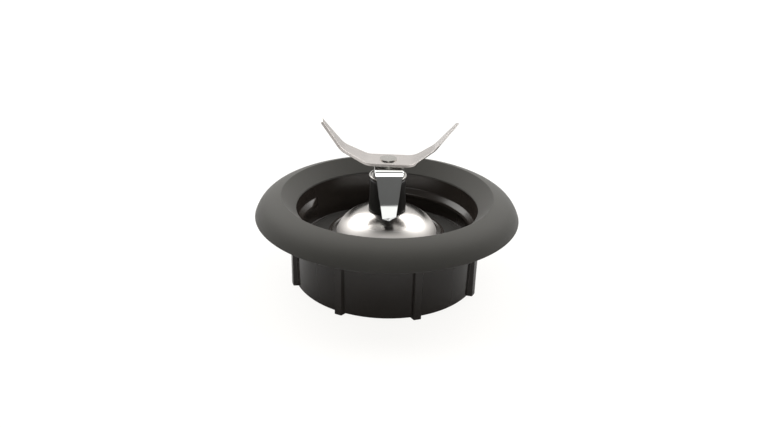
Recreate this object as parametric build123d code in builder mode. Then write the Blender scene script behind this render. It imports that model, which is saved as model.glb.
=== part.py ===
from build123d import *
from math import cos, radians, sin, sqrt
import os

os.makedirs("parts", exist_ok=True)

# Blender blade unit that screws on the bottom of a jar. Millimetres, +Z up,
# origin at the bottom centre of the skirt, the front of the unit towards -Y.

# Fits: clearance between a fixed piece and the hole that takes it, on the radius,
# between the shaft and its bearings, and between turning and fixed faces
fit_clearance = 0.03
hole_clearance = 0.15
running_clearance = 0.04
end_float = 0.3

# Collar: ribbed skirt, cup for the jar's neck, floor and wall top
skirt_radius = 40.6
skirt_wall = 2.2
foot_chamfer = 0.5
cup_mouth_radius = 39.3
cup_floor_radius = 38.7
cup_wall = 1.8
floor_height = 15.0
floor_thickness = 2.6
rim_height = 32.4

# Collar: ribs outside the skirt, for the hand, and webs under the floor
rib_count = 8
rib_first_angle = -116.56
rib_height = 1.4
rib_tip_width = 3.2
rib_root_width = 5.0
rib_round = 0.6
web_thickness = 1.8
web_height = 4.0

# Collar: raised seat of the dome, with a tower round the bearing housing
seat_radius = 25.6
seat_height = 5.4
seat_wall = 2.6
seat_bead_radius = 24.0
seat_bead_width = 0.9
seat_bead_height = 0.5
tower_wall = 2.2

# Collar: flange that carries the soft ring, with a key ring that holds it
flange_radius = 49.0
flange_top = 29.7
flange_thickness = 2.4
key_radius = 44.6
key_width = 2.0
key_height = 3.4

# Collar: jar thread, two lengths of one right-hand helix
thread_pitch = 5.2
thread_depth = 2.0
thread_top_flank = 2.2
thread_crest = 1.2
thread_under_flank = 1.0
thread_arc = 109.0
thread_first_angle = -29.0
thread_count = 2
thread_first_height = 24.0
thread_root_overlap = 0.5

# Soft ring
ring_radius = 56.8
ring_edge = 0.8
ring_slope = 20.0
ring_lip_radius = 45.0
ring_lip_height = 39.1
ring_lip_round = 0.7
ring_step = 0.6

# Jar gasket on the floor of the cup
gasket_width = 9.2
gasket_thickness = 1.6
gasket_bead_height = 0.4
gasket_bead_width = 1.2
gasket_round = 0.3

# Dome, pressed from sheet, and its seal
dome_sphere_radius = 26.3
dome_rim_radius = 22.0
dome_rim_rise = 0.65
dome_sheet = 0.8
dome_rim_depth = 1.5
dome_land_radius = 8.8
dome_seal_thickness = 1.2

# Bearing housing: boss above the dome, stem with flats below it
boss_foot_radius = 8.05
boss_top_radius = 7.6
boss_height = 14.2
boss_edge = 0.5
stem_radius = 7.0
stem_flats = 12.8
stem_length = 20.2
housing_bore_radius = 5.5

# Bushes, lip seal and its spring
bush_length = 8.0
bush_chamfer = 0.4
lower_bush_inset = 0.4
seal_height = 3.4
seal_flange = 1.0
seal_lip_wall = 0.36
seal_lip_length = 1.6
seal_spring_wire = 0.5

# Lock washer and lock nut on the stem
lock_washer_radius = 11.5
lock_washer_thickness = 0.9
lock_tooth_count = 16
lock_tooth_depth = 1.2
lock_tooth_width = 1.6
nut_flats = 22.0
nut_height = 4.8
nut_chamfer = 0.6

# Drive shaft
shaft_radius = 4.0
spigot_radius = 3.0
spigot_flats = 4.6
head_radius = 3.6
head_height = 0.7
head_round = 0.35
drive_flats = 6.4
shaft_end_height = 2.6

# Hub stack above the boss
cap_gap = 0.4
cap_radius = 8.05
cap_thickness = 1.2
cap_dish_depth = 0.3
cap_rim_width = 0.9
hub_radius = 5.2
hub_height = 3.8
blade_spacer_radius = 5.0
blade_spacer_thickness = 0.8

# Lower blade: flat centre, two narrower arms bent down
blade_sheet = 1.2
lower_angle = 3.5
lower_flat_half = 8.3
lower_width = 12.0
lower_root_width = 10.2
lower_bend_radius = 3.0
lower_bend_angle = 69.0
lower_arm_length = 19.8
lower_shoulder_drop = 1.0
lower_shoulder_height = 1.3
lower_tip_width = 5.4
lower_lead_corner = 1.3
lower_trail_corner = 2.4
lower_bevel_width = 1.4

# Upper blade: flat centre, two arms that curve up twice
upper_angle = -2.6
upper_width = 12.5
upper_first_radius = 11.0
upper_second_radius = 14.0
right_flat_half = 11.8
right_first_angle = 38.2
right_first_length = 10.0
right_second_angle = 50.6
right_second_length = 15.2
left_flat_half = 8.9
left_first_angle = 26.0
left_first_length = 11.9
left_second_angle = 52.3
left_second_length = 14.6
upper_mid_width = 8.1
upper_tip_width = 2.6
upper_tip_slant = 1.2
upper_bevel_width = 2.2
bevel_land = 0.3

# Thrust washer and retaining ring under the stem
thrust_radius = 6.8
thrust_thickness = 1.0
clip_groove_radius = 3.2
clip_radius = 5.8
clip_thickness = 0.9
clip_gap_width = 4.0

# Drive coupling with its insert and screw
coupling_foot_height = 0.9
coupling_top_height = 8.5
coupling_core_radius = 9.6
coupling_flange_radius = 15.0
coupling_flange_thickness = 2.0
coupling_lobe_count = 6
coupling_lobe_radius = 14.0
coupling_lobe_width = 5.0
coupling_round = 0.8
insert_radius = 6.5
insert_knurl_depth = 0.5
insert_knurl_count = 12
screw_radius = 1.5
screw_depth = 6.0
screw_head_radius = 4.6
screw_head_height = 1.3
screw_recess_clearance = 0.4
screw_slot_width = 1.0
screw_slot_depth = 0.7

# Heights and radii that follow from the sizes above
cup_outer_radius = cup_mouth_radius + cup_wall
floor_under = floor_height - floor_thickness
seat_top = floor_height + seat_height
seat_under = seat_top - seat_wall
seat_inner_radius = seat_radius - seat_wall
flange_under = flange_top - flange_thickness
stem_hole_radius = stem_radius + hole_clearance
dome_rim_height = seat_top + dome_rim_rise
dome_centre = dome_rim_height - sqrt(dome_sphere_radius**2 - dome_rim_radius**2)
dome_inner_sphere = dome_sphere_radius - dome_sheet
dome_top = dome_centre + sqrt(dome_sphere_radius**2 - dome_land_radius**2)
dome_under = dome_top - dome_sheet
dome_inner_land = sqrt(dome_inner_sphere**2 - (dome_under - dome_centre) ** 2)
dome_inner_rim = dome_centre + sqrt(dome_inner_sphere**2 - (dome_rim_radius - dome_sheet) ** 2)
groove_floor = seat_top - dome_rim_depth
tower_top = dome_under - dome_seal_thickness
tower_radius = stem_hole_radius + tower_wall
boss_top = dome_top + boss_height
stem_end = dome_top - stem_length
seal_seat = boss_top - seal_height
thrust_top = stem_end - end_float
clip_top = thrust_top - thrust_thickness
clip_under = clip_top - clip_thickness
nut_top = seat_under - lock_washer_thickness
cap_under = boss_top + cap_gap
cap_top = cap_under + cap_thickness
hub_foot = cap_top - cap_dish_depth
lower_under = hub_foot + hub_height
lower_top = lower_under + blade_sheet
upper_under = lower_top + blade_spacer_thickness
upper_top = upper_under + blade_sheet
bush_bore_radius = shaft_radius + running_clearance
bush_radius = housing_bore_radius - fit_clearance
insert_foot = coupling_foot_height + screw_head_height + screw_recess_clearance


def flatted_round(radius, flats):
    """Draw a circle with two parallel flats, in the sketch that is open.

    Args:
        radius: radius of the round part.
        flats: distance across the flats, along Y.
    """
    Circle(radius)
    Rectangle(2 * radius, flats, mode=Mode.INTERSECT)


def bevel_cutter(start, end, normal, inward, width):
    """Make the wedge that grinds a cutting edge on a flat arm.

    Args:
        start: first point of the edge, on the face that is ground.
        end: last point of the edge.
        normal: direction out of that face.
        inward: direction from the edge towards the middle of the arm.
        width: width of the ground face.

    Returns:
        The wedge as a part, a little proud of the arm.
    """
    along = (end - start).normalized()
    inward = (inward - along * inward.dot(along)).normalized()
    frame = Plane(origin=start, x_dir=inward, z_dir=along)
    side = 1 if frame.y_dir.dot(normal) > 0 else -1
    depth = blade_sheet - bevel_land
    with BuildPart() as cutter:
        with BuildSketch(frame):
            Polygon((width, 0), (width, side * depth), (-width, side * depth),
                    (-width, -side * 2 * depth), align=None)
        extrude(amount=(end - start).length)
    return cutter.part


# Collar: one rib, standing at +X, with a rounded foot
with BuildPart() as rib:
    with BuildSketch():
        Polygon(
            (skirt_radius - skirt_wall / 2, -rib_root_width / 2),
            (skirt_radius + rib_height, -rib_tip_width / 2),
            (skirt_radius + rib_height, rib_tip_width / 2),
            (skirt_radius - skirt_wall / 2, rib_root_width / 2),
            align=None,
        )
    extrude(amount=flange_under)
    rib_tip = rib.faces().sort_by(Axis.X)[-1]
    rib_edges = rib_tip.edges().filter_by(Axis.Z) + rib_tip.edges().sort_by(Axis.Z)[:1]
    fillet(rib_edges, radius=rib_round)

# Collar: one length of thread, from +X round to the left as it climbs
thread_wall_radius = cup_floor_radius + (cup_mouth_radius - cup_floor_radius) * (
    (thread_first_height - floor_height) / (rim_height - floor_height))
thread_reach = thread_root_overlap + thread_depth
with BuildPart() as thread_length:
    with BuildLine() as thread_path:
        Helix(
            pitch=thread_pitch,
            height=thread_pitch * thread_arc / 360,
            radius=thread_wall_radius + thread_root_overlap,
        )
    thread_start = Plane(
        origin=thread_path.line @ 0, x_dir=(-1, 0, 0), z_dir=thread_path.line % 0)
    with BuildSketch(thread_start):
        Polygon(
            (0, 0),
            (thread_root_overlap, 0),
            (thread_reach, -thread_top_flank),
            (thread_reach, -thread_top_flank - thread_crest),
            (thread_root_overlap, -thread_top_flank - thread_crest - thread_under_flank),
            (0, -thread_top_flank - thread_crest - thread_under_flank),
            align=None,
        )
    sweep(path=thread_path.line, is_frenet=True)

# Collar: the whole moulding, turned from one section, then ribs, thread and webs
with BuildPart() as collar:
    with BuildSketch(Plane.XZ):
        Polygon(
            (skirt_radius - skirt_wall, 0),
            (skirt_radius - foot_chamfer, 0),
            (skirt_radius, foot_chamfer),
            (cup_outer_radius, flange_under),
            (flange_radius, flange_under),
            (flange_radius, flange_top),
            (key_radius + key_width, flange_top),
            (key_radius + key_width, flange_top + key_height),
            (key_radius, flange_top + key_height),
            (key_radius, flange_top),
            (cup_outer_radius, flange_top),
            (cup_outer_radius, rim_height),
            (cup_mouth_radius, rim_height),
            (cup_floor_radius, floor_height),
            (seat_radius, floor_height),
            (seat_radius, seat_top),
            (seat_bead_radius + seat_bead_width / 2, seat_top),
            (seat_bead_radius, seat_top + seat_bead_height),
            (seat_bead_radius - seat_bead_width / 2, seat_top),
            (dome_rim_radius + fit_clearance, seat_top),
            (dome_rim_radius + fit_clearance, groove_floor),
            (dome_rim_radius - dome_sheet - fit_clearance, groove_floor),
            (dome_rim_radius - dome_sheet - fit_clearance, seat_top),
            (tower_radius, seat_top),
            (tower_radius, tower_top),
            (0, tower_top),
            (0, seat_under),
            (seat_inner_radius, seat_under),
            (seat_inner_radius, floor_under),
            (skirt_radius - skirt_wall, floor_under),
            align=None,
        )
    revolve(axis=Axis.Z)
    with PolarLocations(0, rib_count, start_angle=rib_first_angle):
        add(rib.part)
    for turn in range(thread_count):
        turned = 360 / thread_count * turn
        climbed = thread_pitch * turned / 360
        with Locations(
            Location((0, 0, thread_first_height + climbed), (0, 0, thread_first_angle + turned))
        ):
            add(thread_length.part)
    with BuildSketch(Plane.XY.offset(floor_under)):
        with PolarLocations(0, rib_count, start_angle=rib_first_angle):
            Polygon(
                (seat_inner_radius, -web_thickness / 2),
                (skirt_radius - skirt_wall / 2, -web_thickness / 2),
                (skirt_radius - skirt_wall / 2, web_thickness / 2),
                (seat_inner_radius, web_thickness / 2),
                align=None,
            )
    extrude(amount=-web_height)
    with BuildSketch(Plane.XY.offset(seat_under)):
        flatted_round(stem_hole_radius, stem_flats + 2 * hole_clearance)
    extrude(amount=tower_top - seat_under, mode=Mode.SUBTRACT)
collar.part.label = "collar"
export_step(collar.part, "parts/collar.step")

# Soft ring: the top slopes out from the lip and rolls over into an upright edge
slope = radians(ring_slope)
edge_height = flange_top + ring_edge
roll_radius = (
    (ring_lip_height - edge_height) * cos(slope) - (ring_radius - ring_lip_radius) * sin(slope)
) / (1 - sin(slope))
with BuildPart() as soft_ring:
    with BuildSketch(Plane.XZ):
        with BuildLine():
            roll = CenterArc((ring_radius - roll_radius, edge_height), roll_radius, 0, 90 - ring_slope)
            Polyline(
                roll @ 1,
                (ring_lip_radius, ring_lip_height),
                (cup_mouth_radius, rim_height + ring_step),
                (cup_mouth_radius, rim_height),
                (cup_outer_radius, rim_height),
                (cup_outer_radius, flange_top),
                (ring_radius - ring_edge, flange_top),
            )
            CenterArc((ring_radius - ring_edge, edge_height), ring_edge, -90, 90)
        make_face()
        with Locations((key_radius, flange_top)):
            Rectangle(key_width, key_height, align=(Align.MIN, Align.MIN), mode=Mode.SUBTRACT)
    revolve(axis=Axis.Z)
    fillet(soft_ring.edges().sort_by(Axis.Z)[-1:], radius=ring_lip_round)
soft_ring.part.label = "soft_ring"
export_step(soft_ring.part, "parts/soft_ring.step")

# Jar gasket: flat ring round the seat, with a bead along each side
gasket_inner = seat_radius + hole_clearance
with BuildPart() as jar_gasket:
    with BuildSketch(Plane.XZ):
        with Locations((gasket_inner, floor_height)):
            Rectangle(gasket_width, gasket_thickness, align=(Align.MIN, Align.MIN))
        for bead_edge in (gasket_inner, gasket_inner + gasket_width - gasket_bead_width):
            with Locations((bead_edge, floor_height + gasket_thickness)):
                Rectangle(gasket_bead_width, gasket_bead_height, align=(Align.MIN, Align.MIN))
    revolve(axis=Axis.Z)
    fillet(jar_gasket.edges().group_by(Axis.Z)[-1], radius=gasket_round)
jar_gasket.part.label = "jar_gasket"
export_step(jar_gasket.part, "parts/jar_gasket.step")

# Dome: spherical cap with a flat land on top and an upright rim in the seat's groove
dome_hole = stem_hole_radius
with BuildPart() as dome:
    with BuildSketch(Plane.XZ):
        with BuildLine():
            outer_angle = Vector(dome_rim_radius, dome_rim_height - dome_centre).get_angle(Vector(1, 0))
            land_angle = Vector(dome_land_radius, dome_top - dome_centre).get_angle(Vector(1, 0))
            cap = CenterArc((0, dome_centre), dome_sphere_radius, outer_angle, land_angle - outer_angle)
            inner_rim = Vector(dome_rim_radius - dome_sheet, dome_inner_rim - dome_centre)
            inner_land = Vector(dome_inner_land, dome_under - dome_centre)
            rim_angle = inner_rim.get_angle(Vector(1, 0))
            inner_angle = inner_land.get_angle(Vector(1, 0))
            lining = CenterArc((0, dome_centre), dome_inner_sphere, rim_angle, inner_angle - rim_angle)
            Polyline(cap @ 1, (dome_hole, dome_top), (dome_hole, dome_under), lining @ 1)
            Polyline(
                lining @ 0,
                (dome_rim_radius - dome_sheet, groove_floor),
                (dome_rim_radius, groove_floor),
                cap @ 0,
            )
        make_face()
    revolve(axis=Axis.Z)
dome.part.label = "dome"
export_step(dome.part, "parts/dome.step")

# Dome seal: flat ring pressed between the tower and the dome
with BuildPart() as dome_seal:
    with BuildSketch(Plane.XY.offset(tower_top)):
        Circle(dome_inner_land - hole_clearance)
        Circle(stem_hole_radius, mode=Mode.SUBTRACT)
    extrude(amount=dome_seal_thickness)
dome_seal.part.label = "dome_seal"
export_step(dome_seal.part, "parts/dome_seal.step")

# Bearing housing: tapered boss that stands on the dome, stem with flats, one bore
with BuildPart() as bearing_housing:
    with BuildSketch(Plane.XZ):
        Polygon(
            (0, dome_top),
            (boss_foot_radius, dome_top),
            (boss_top_radius, boss_top - boss_edge),
            (boss_top_radius - boss_edge, boss_top),
            (0, boss_top),
            align=None,
        )
    revolve(axis=Axis.Z)
    with BuildSketch(Plane.XY.offset(stem_end)):
        flatted_round(stem_radius, stem_flats)
    extrude(amount=stem_length)
    with BuildSketch(Plane.XY.offset(stem_end)):
        Circle(housing_bore_radius)
    extrude(amount=boss_top - stem_end, mode=Mode.SUBTRACT)
bearing_housing.part.label = "bearing_housing"
export_step(bearing_housing.part, "parts/bearing_housing.step")

# Bushes: two alike, one under the lip seal and one at the foot of the stem
for bush_name, bush_foot in (
    ("upper_bush", seal_seat - bush_length),
    ("lower_bush", stem_end + lower_bush_inset),
):
    with BuildPart() as bush:
        with BuildSketch(Plane.XY.offset(bush_foot)):
            Circle(bush_radius)
            Circle(bush_bore_radius, mode=Mode.SUBTRACT)
        extrude(amount=bush_length)
        rims = bush.edges().filter_by(GeomType.CIRCLE).sort_by(SortBy.RADIUS)[-2:]
        chamfer(rims, length=bush_chamfer)
    bush.part.label = bush_name
    export_step(bush.part, f"parts/{bush_name}.step")

# Lip seal: case in the bore, a flange on top and a lip that hangs from it on the shaft
lip_radius = shaft_radius + running_clearance
lip_outer_radius = lip_radius + seal_lip_wall
case_radius = lip_outer_radius + seal_spring_wire + 2 * fit_clearance
with BuildPart() as shaft_seal:
    with BuildSketch(Plane.XZ):
        Polygon(
            (bush_radius, seal_seat),
            (bush_radius, boss_top),
            (lip_radius, boss_top),
            (lip_radius, boss_top - seal_flange - seal_lip_length),
            (lip_outer_radius, boss_top - seal_flange - seal_lip_length),
            (lip_outer_radius, boss_top - seal_flange),
            (case_radius, boss_top - seal_flange),
            (case_radius, seal_seat),
            align=None,
        )
    revolve(axis=Axis.Z)
shaft_seal.part.label = "shaft_seal"
export_step(shaft_seal.part, "parts/shaft_seal.step")

# Ring spring round the lip
spring_height = boss_top - seal_flange - seal_lip_length / 2
spring_ring_radius = lip_outer_radius + fit_clearance + seal_spring_wire / 2
with BuildPart() as seal_spring:
    with BuildSketch(Plane.XZ):
        with Locations((spring_ring_radius, spring_height)):
            Circle(seal_spring_wire / 2)
    revolve(axis=Axis.Z)
seal_spring.part.label = "seal_spring"
export_step(seal_spring.part, "parts/seal_spring.step")

# Lock washer with teeth round its edge
with BuildPart() as lock_washer:
    with BuildSketch(Plane.XY.offset(nut_top)):
        Circle(lock_washer_radius)
        with PolarLocations(lock_washer_radius, lock_tooth_count):
            Rectangle(2 * lock_tooth_depth, lock_tooth_width, mode=Mode.SUBTRACT)
        flatted = stem_flats + 2 * hole_clearance
        with BuildSketch(mode=Mode.PRIVATE) as washer_hole:
            flatted_round(stem_hole_radius, flatted)
        add(washer_hole.sketch, mode=Mode.SUBTRACT)
    extrude(amount=lock_washer_thickness)
lock_washer.part.label = "lock_washer"
export_step(lock_washer.part, "parts/lock_washer.step")

# Lock nut
with BuildPart() as lock_nut:
    with BuildSketch(Plane.XY.offset(nut_top - nut_height)):
        RegularPolygon(nut_flats / 2, 6, major_radius=False)
        Circle(stem_radius + fit_clearance, mode=Mode.SUBTRACT)
    extrude(amount=nut_height)
    with BuildSketch(Plane.XZ):
        Polygon(
            (0, nut_top - nut_height),
            (nut_flats / 2, nut_top - nut_height),
            (nut_flats / 2 + 2 * nut_chamfer * sqrt(3), nut_top - nut_height + 2 * nut_chamfer),
            (nut_flats / 2 + 2 * nut_chamfer * sqrt(3), nut_top),
            (0, nut_top),
            align=None,
        )
    revolve(axis=Axis.Z, mode=Mode.INTERSECT)
lock_nut.part.label = "lock_nut"
export_step(lock_nut.part, "parts/lock_nut.step")

# Drive shaft: drive flats at the foot, clip groove, journal, flatted spigot, peened head
spigot_top = upper_top
with BuildPart() as drive_shaft:
    with BuildSketch(Plane.XY.offset(shaft_end_height)):
        flatted_round(shaft_radius, drive_flats)
    extrude(amount=coupling_top_height - shaft_end_height)
    with BuildSketch(Plane.XY.offset(coupling_top_height)):
        Circle(shaft_radius)
    extrude(amount=cap_under - coupling_top_height)
    with BuildSketch(Plane.XY.offset(clip_under)):
        Circle(shaft_radius)
        Circle(clip_groove_radius, mode=Mode.SUBTRACT)
    extrude(amount=clip_thickness, mode=Mode.SUBTRACT)
    with BuildSketch(Plane.XY.offset(cap_under)):
        flatted_round(spigot_radius, spigot_flats)
    extrude(amount=spigot_top - cap_under)
    with BuildSketch(Plane.XY.offset(spigot_top)):
        Circle(head_radius)
    extrude(amount=head_height)
    fillet(drive_shaft.edges().sort_by(Axis.Z)[-1:], radius=head_round)
    with BuildSketch(Plane.XY.offset(shaft_end_height)):
        Circle(screw_radius + fit_clearance)
    extrude(amount=screw_depth, mode=Mode.SUBTRACT)
drive_shaft.part.label = "drive_shaft"
export_step(drive_shaft.part, "parts/drive_shaft.step")

# Cap washer: dished disc that covers the seal
with BuildPart() as cap_washer:
    with BuildSketch(Plane.XY.offset(cap_under)):
        Circle(cap_radius)
    extrude(amount=cap_thickness)
    fillet(cap_washer.edges().sort_by(Axis.Z)[-1:], radius=cap_dish_depth)
    with BuildSketch(Plane.XY.offset(cap_top)):
        Circle(cap_radius - cap_rim_width)
    extrude(amount=-cap_dish_depth, mode=Mode.SUBTRACT)
    with BuildSketch(Plane.XY.offset(cap_under)):
        flatted_round(spigot_radius + fit_clearance, spigot_flats + 2 * fit_clearance)
    extrude(amount=cap_thickness, mode=Mode.SUBTRACT)
cap_washer.part.label = "cap_washer"
export_step(cap_washer.part, "parts/cap_washer.step")

# Hub spacer and blade spacer: plain sleeves on the spigot
for sleeve_name, sleeve_foot, sleeve_height, sleeve_radius in (
    ("hub_spacer", hub_foot, hub_height, hub_radius),
    ("blade_spacer", lower_top, blade_spacer_thickness, blade_spacer_radius),
):
    with BuildPart() as sleeve:
        with BuildSketch(Plane.XY.offset(sleeve_foot)):
            Circle(sleeve_radius)
            Circle(spigot_radius + fit_clearance, mode=Mode.SUBTRACT)
        extrude(amount=sleeve_height)
    sleeve.part.label = sleeve_name
    export_step(sleeve.part, f"parts/{sleeve_name}.step")

# Lower blade: one arm towards -Y, drawn as a bent strip and cut to its outline
lower_bend = radians(lower_bend_angle)
lower_tip_reach = lower_flat_half + lower_arm_length * cos(lower_bend)
lower_tip_height = lower_under - lower_arm_length * sin(lower_bend)
lower_root_height = lower_under - lower_shoulder_drop - lower_shoulder_height
with BuildPart() as lower_arm:
    with BuildSketch(Plane.YZ):
        with BuildLine():
            FilletPolyline(
                (0, lower_under),
                (-lower_flat_half, lower_under),
                (-lower_tip_reach, lower_tip_height),
                radius=lower_bend_radius,
            )
            offset(amount=blade_sheet, side=Side.RIGHT)
        make_face()
    extrude(amount=lower_width / 2, both=True)
    with BuildSketch(Plane.XZ):
        Polygon(
            (-lower_width / 2, lower_top),
            (-lower_width / 2, lower_under - lower_shoulder_drop),
            (-lower_root_width / 2, lower_root_height),
            (-lower_tip_width / 2, lower_tip_height + lower_lead_corner),
            (0, lower_tip_height),
            (lower_tip_width / 2, lower_tip_height + lower_trail_corner),
            (lower_root_width / 2, lower_root_height),
            (lower_width / 2, lower_under - lower_shoulder_drop),
            (lower_width / 2, lower_top),
            align=None,
        )
    extrude(amount=2 * lower_tip_reach, mode=Mode.INTERSECT)

lower_down = Vector(0, -cos(lower_bend), -sin(lower_bend))
lower_back = Vector(0, sin(lower_bend), -cos(lower_bend))
lower_run = (lower_shoulder_drop + lower_shoulder_height) / sin(lower_bend)
lower_start = Vector(-lower_root_width / 2, -lower_flat_half, lower_under) + lower_down * lower_run
lower_end = Vector(-lower_tip_width / 2, -lower_tip_reach, lower_tip_height) - lower_down * lower_lead_corner
lower_bevel = bevel_cutter(lower_start, lower_end, lower_back, Vector(1, 0, 0), lower_bevel_width)

# Lower blade: both arms, the hole that fits the spigot
with BuildPart() as lower_blade:
    with PolarLocations(0, 2, start_angle=lower_angle):
        add(lower_arm.part)
        add(lower_bevel, mode=Mode.SUBTRACT)
    with BuildSketch(Plane.XY.offset(lower_under)):
        flatted_round(spigot_radius + fit_clearance, spigot_flats + 2 * fit_clearance)
    extrude(amount=blade_sheet, mode=Mode.SUBTRACT)
lower_blade.part.label = "lower_blade"
export_step(lower_blade.part, "parts/lower_blade.step")


def upper_arm(flat_half, first_angle, first_length, second_angle, second_length):
    """Make one arm of the upper blade, towards +X, with its cutting edge to -Y.

    Args:
        flat_half: length of the level stretch, from the blade's middle.
        first_angle: angle of the inner stretch above level, in degrees.
        first_length: length of the inner stretch.
        second_angle: angle of the outer stretch above level, in degrees.
        second_length: length of the outer stretch.

    Returns:
        The arm as a part, from the blade's middle to its tip.
    """
    first = radians(first_angle)
    second = radians(second_angle)
    first_way = Vector(cos(first), 0, sin(first))
    second_way = Vector(cos(second), 0, sin(second))
    bend_one = Vector(flat_half, 0, upper_under)
    bend_two = bend_one + first_way * first_length
    tip = bend_two + second_way * second_length
    with BuildPart() as arm:
        with BuildSketch(Plane.XZ):
            with BuildLine():
                FilletPolyline(
                    (0, upper_under),
                    (bend_one.X, bend_one.Z),
                    (bend_two.X, bend_two.Z),
                    (tip.X, tip.Z),
                    radius=(upper_first_radius, upper_second_radius),
                )
                offset(amount=blade_sheet, side=Side.LEFT)
            make_face()
        extrude(amount=upper_width / 2, both=True)
        with BuildSketch(Plane.XY.offset(upper_under)):
            Polygon(
                (0, -upper_width / 2),
                (bend_one.X, -upper_width / 2),
                (bend_two.X, -upper_mid_width / 2),
                (tip.X, -upper_tip_width / 2),
                (tip.X - upper_tip_slant, upper_tip_width / 2),
                (bend_two.X, upper_mid_width / 2),
                (bend_one.X, upper_width / 2),
                (0, upper_width / 2),
                align=None,
            )
        extrude(amount=tip.Z + blade_sheet - upper_under, mode=Mode.INTERSECT)
        edge_one = bend_one + Vector(0, -upper_width / 2, 0)
        edge_two = bend_two + Vector(0, -upper_mid_width / 2, 0)
        edge_tip = tip + Vector(0, -upper_tip_width / 2, 0)
        run_out = edge_one + (edge_two - edge_one).normalized() * upper_bevel_width
        for start, end, way in ((run_out, edge_two, first_way), (edge_two, edge_tip, second_way)):
            down = Vector(way.Z, 0, -way.X)
            cutter = bevel_cutter(start, end, down, Vector(0, 1, 0), upper_bevel_width)
            add(cutter, mode=Mode.SUBTRACT)
    return arm.part


# Upper blade: two arms bent to slightly different angles, one hole
right_arm = upper_arm(
    right_flat_half, right_first_angle, right_first_length, right_second_angle, right_second_length)
left_arm = upper_arm(
    left_flat_half, left_first_angle, left_first_length, left_second_angle, left_second_length)
with BuildPart() as upper_blade:
    add(right_arm, rotation=(0, 0, upper_angle))
    add(left_arm, rotation=(0, 0, upper_angle + 180))
    with BuildSketch(Plane.XY.offset(upper_under)):
        flatted_round(spigot_radius + fit_clearance, spigot_flats + 2 * fit_clearance)
    extrude(amount=blade_sheet, mode=Mode.SUBTRACT)
upper_blade.part.label = "upper_blade"
export_step(upper_blade.part, "parts/upper_blade.step")

# Thrust washer under the stem
with BuildPart() as thrust_washer:
    with BuildSketch(Plane.XY.offset(clip_top)):
        Circle(thrust_radius)
        Circle(shaft_radius + fit_clearance, mode=Mode.SUBTRACT)
    extrude(amount=thrust_thickness)
thrust_washer.part.label = "thrust_washer"
export_step(thrust_washer.part, "parts/thrust_washer.step")

# Retaining ring: open spring clip in the shaft's groove
with BuildPart() as retaining_ring:
    with BuildSketch(Plane.XY.offset(clip_under)):
        Circle(clip_radius)
        Circle(clip_groove_radius + fit_clearance, mode=Mode.SUBTRACT)
        Rectangle(clip_radius, clip_gap_width, align=(Align.MIN, Align.CENTER), mode=Mode.SUBTRACT)
    extrude(amount=clip_thickness)
retaining_ring.part.label = "retaining_ring"
export_step(retaining_ring.part, "parts/retaining_ring.step")

# Coupling insert: knurled brass hub with a flatted hole
with BuildPart() as coupling_insert:
    with BuildSketch(Plane.XY.offset(insert_foot)):
        Circle(insert_radius)
        with PolarLocations(insert_radius, insert_knurl_count):
            Circle(insert_knurl_depth, mode=Mode.SUBTRACT)
        with BuildSketch(mode=Mode.PRIVATE) as insert_hole:
            flatted_round(shaft_radius + fit_clearance, drive_flats + 2 * fit_clearance)
        add(insert_hole.sketch, mode=Mode.SUBTRACT)
    extrude(amount=coupling_top_height - insert_foot)
coupling_insert.part.label = "coupling_insert"
export_step(coupling_insert.part, "parts/coupling_insert.step")

# Drive coupling: flange on top, six lobes, moulded round the insert
with BuildPart() as drive_coupling:
    with BuildSketch(Plane.XY.offset(coupling_foot_height)):
        Circle(coupling_core_radius)
        with PolarLocations(0, coupling_lobe_count):
            with Locations((coupling_lobe_radius / 2, 0)):
                Rectangle(coupling_lobe_radius, coupling_lobe_width)
    extrude(amount=coupling_top_height - coupling_foot_height)
    fillet(drive_coupling.edges().filter_by(Axis.Z), radius=coupling_round)
    with BuildSketch(Plane.XY.offset(coupling_top_height)):
        Circle(coupling_flange_radius)
    extrude(amount=-coupling_flange_thickness)
    with BuildSketch(Plane.XY.offset(insert_foot)):
        Circle(insert_radius)
        with PolarLocations(insert_radius, insert_knurl_count):
            Circle(insert_knurl_depth, mode=Mode.SUBTRACT)
    extrude(amount=coupling_top_height - insert_foot, mode=Mode.SUBTRACT)
    with BuildSketch(Plane.XY.offset(coupling_foot_height)):
        Circle(screw_head_radius + screw_recess_clearance)
    extrude(amount=insert_foot - coupling_foot_height, mode=Mode.SUBTRACT)
drive_coupling.part.label = "drive_coupling"
export_step(drive_coupling.part, "parts/drive_coupling.step")

# Coupling screw: slotted washer head under the insert, shank in the shaft
with BuildPart() as coupling_screw:
    with BuildSketch(Plane.XY.offset(insert_foot)):
        Circle(screw_head_radius)
    extrude(amount=-screw_head_height)
    with BuildSketch(Plane.XY.offset(insert_foot)):
        Circle(screw_radius)
    extrude(amount=screw_depth)
    with BuildSketch(Plane.XY.offset(insert_foot - screw_head_height)):
        Rectangle(2 * screw_head_radius, screw_slot_width)
    extrude(amount=screw_slot_depth, mode=Mode.SUBTRACT)
coupling_screw.part.label = "coupling_screw"
export_step(coupling_screw.part, "parts/coupling_screw.step")
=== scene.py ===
"""Looks of a blender blade unit: smooth shells, finishes, studio and camera.

Sizes in the classes are millimetres, as on a drawing, and meshes are metres.
The front of the unit faces -Y, and its shaft stands on the Z axis.
"""
import logging
import math
from dataclasses import dataclass, field
from enum import Enum
from typing import Any, Callable, Sequence

import bmesh
import bpy
from mathutils import Matrix, Quaternion, Vector
from mathutils.geometry import interpolate_bezier


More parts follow.
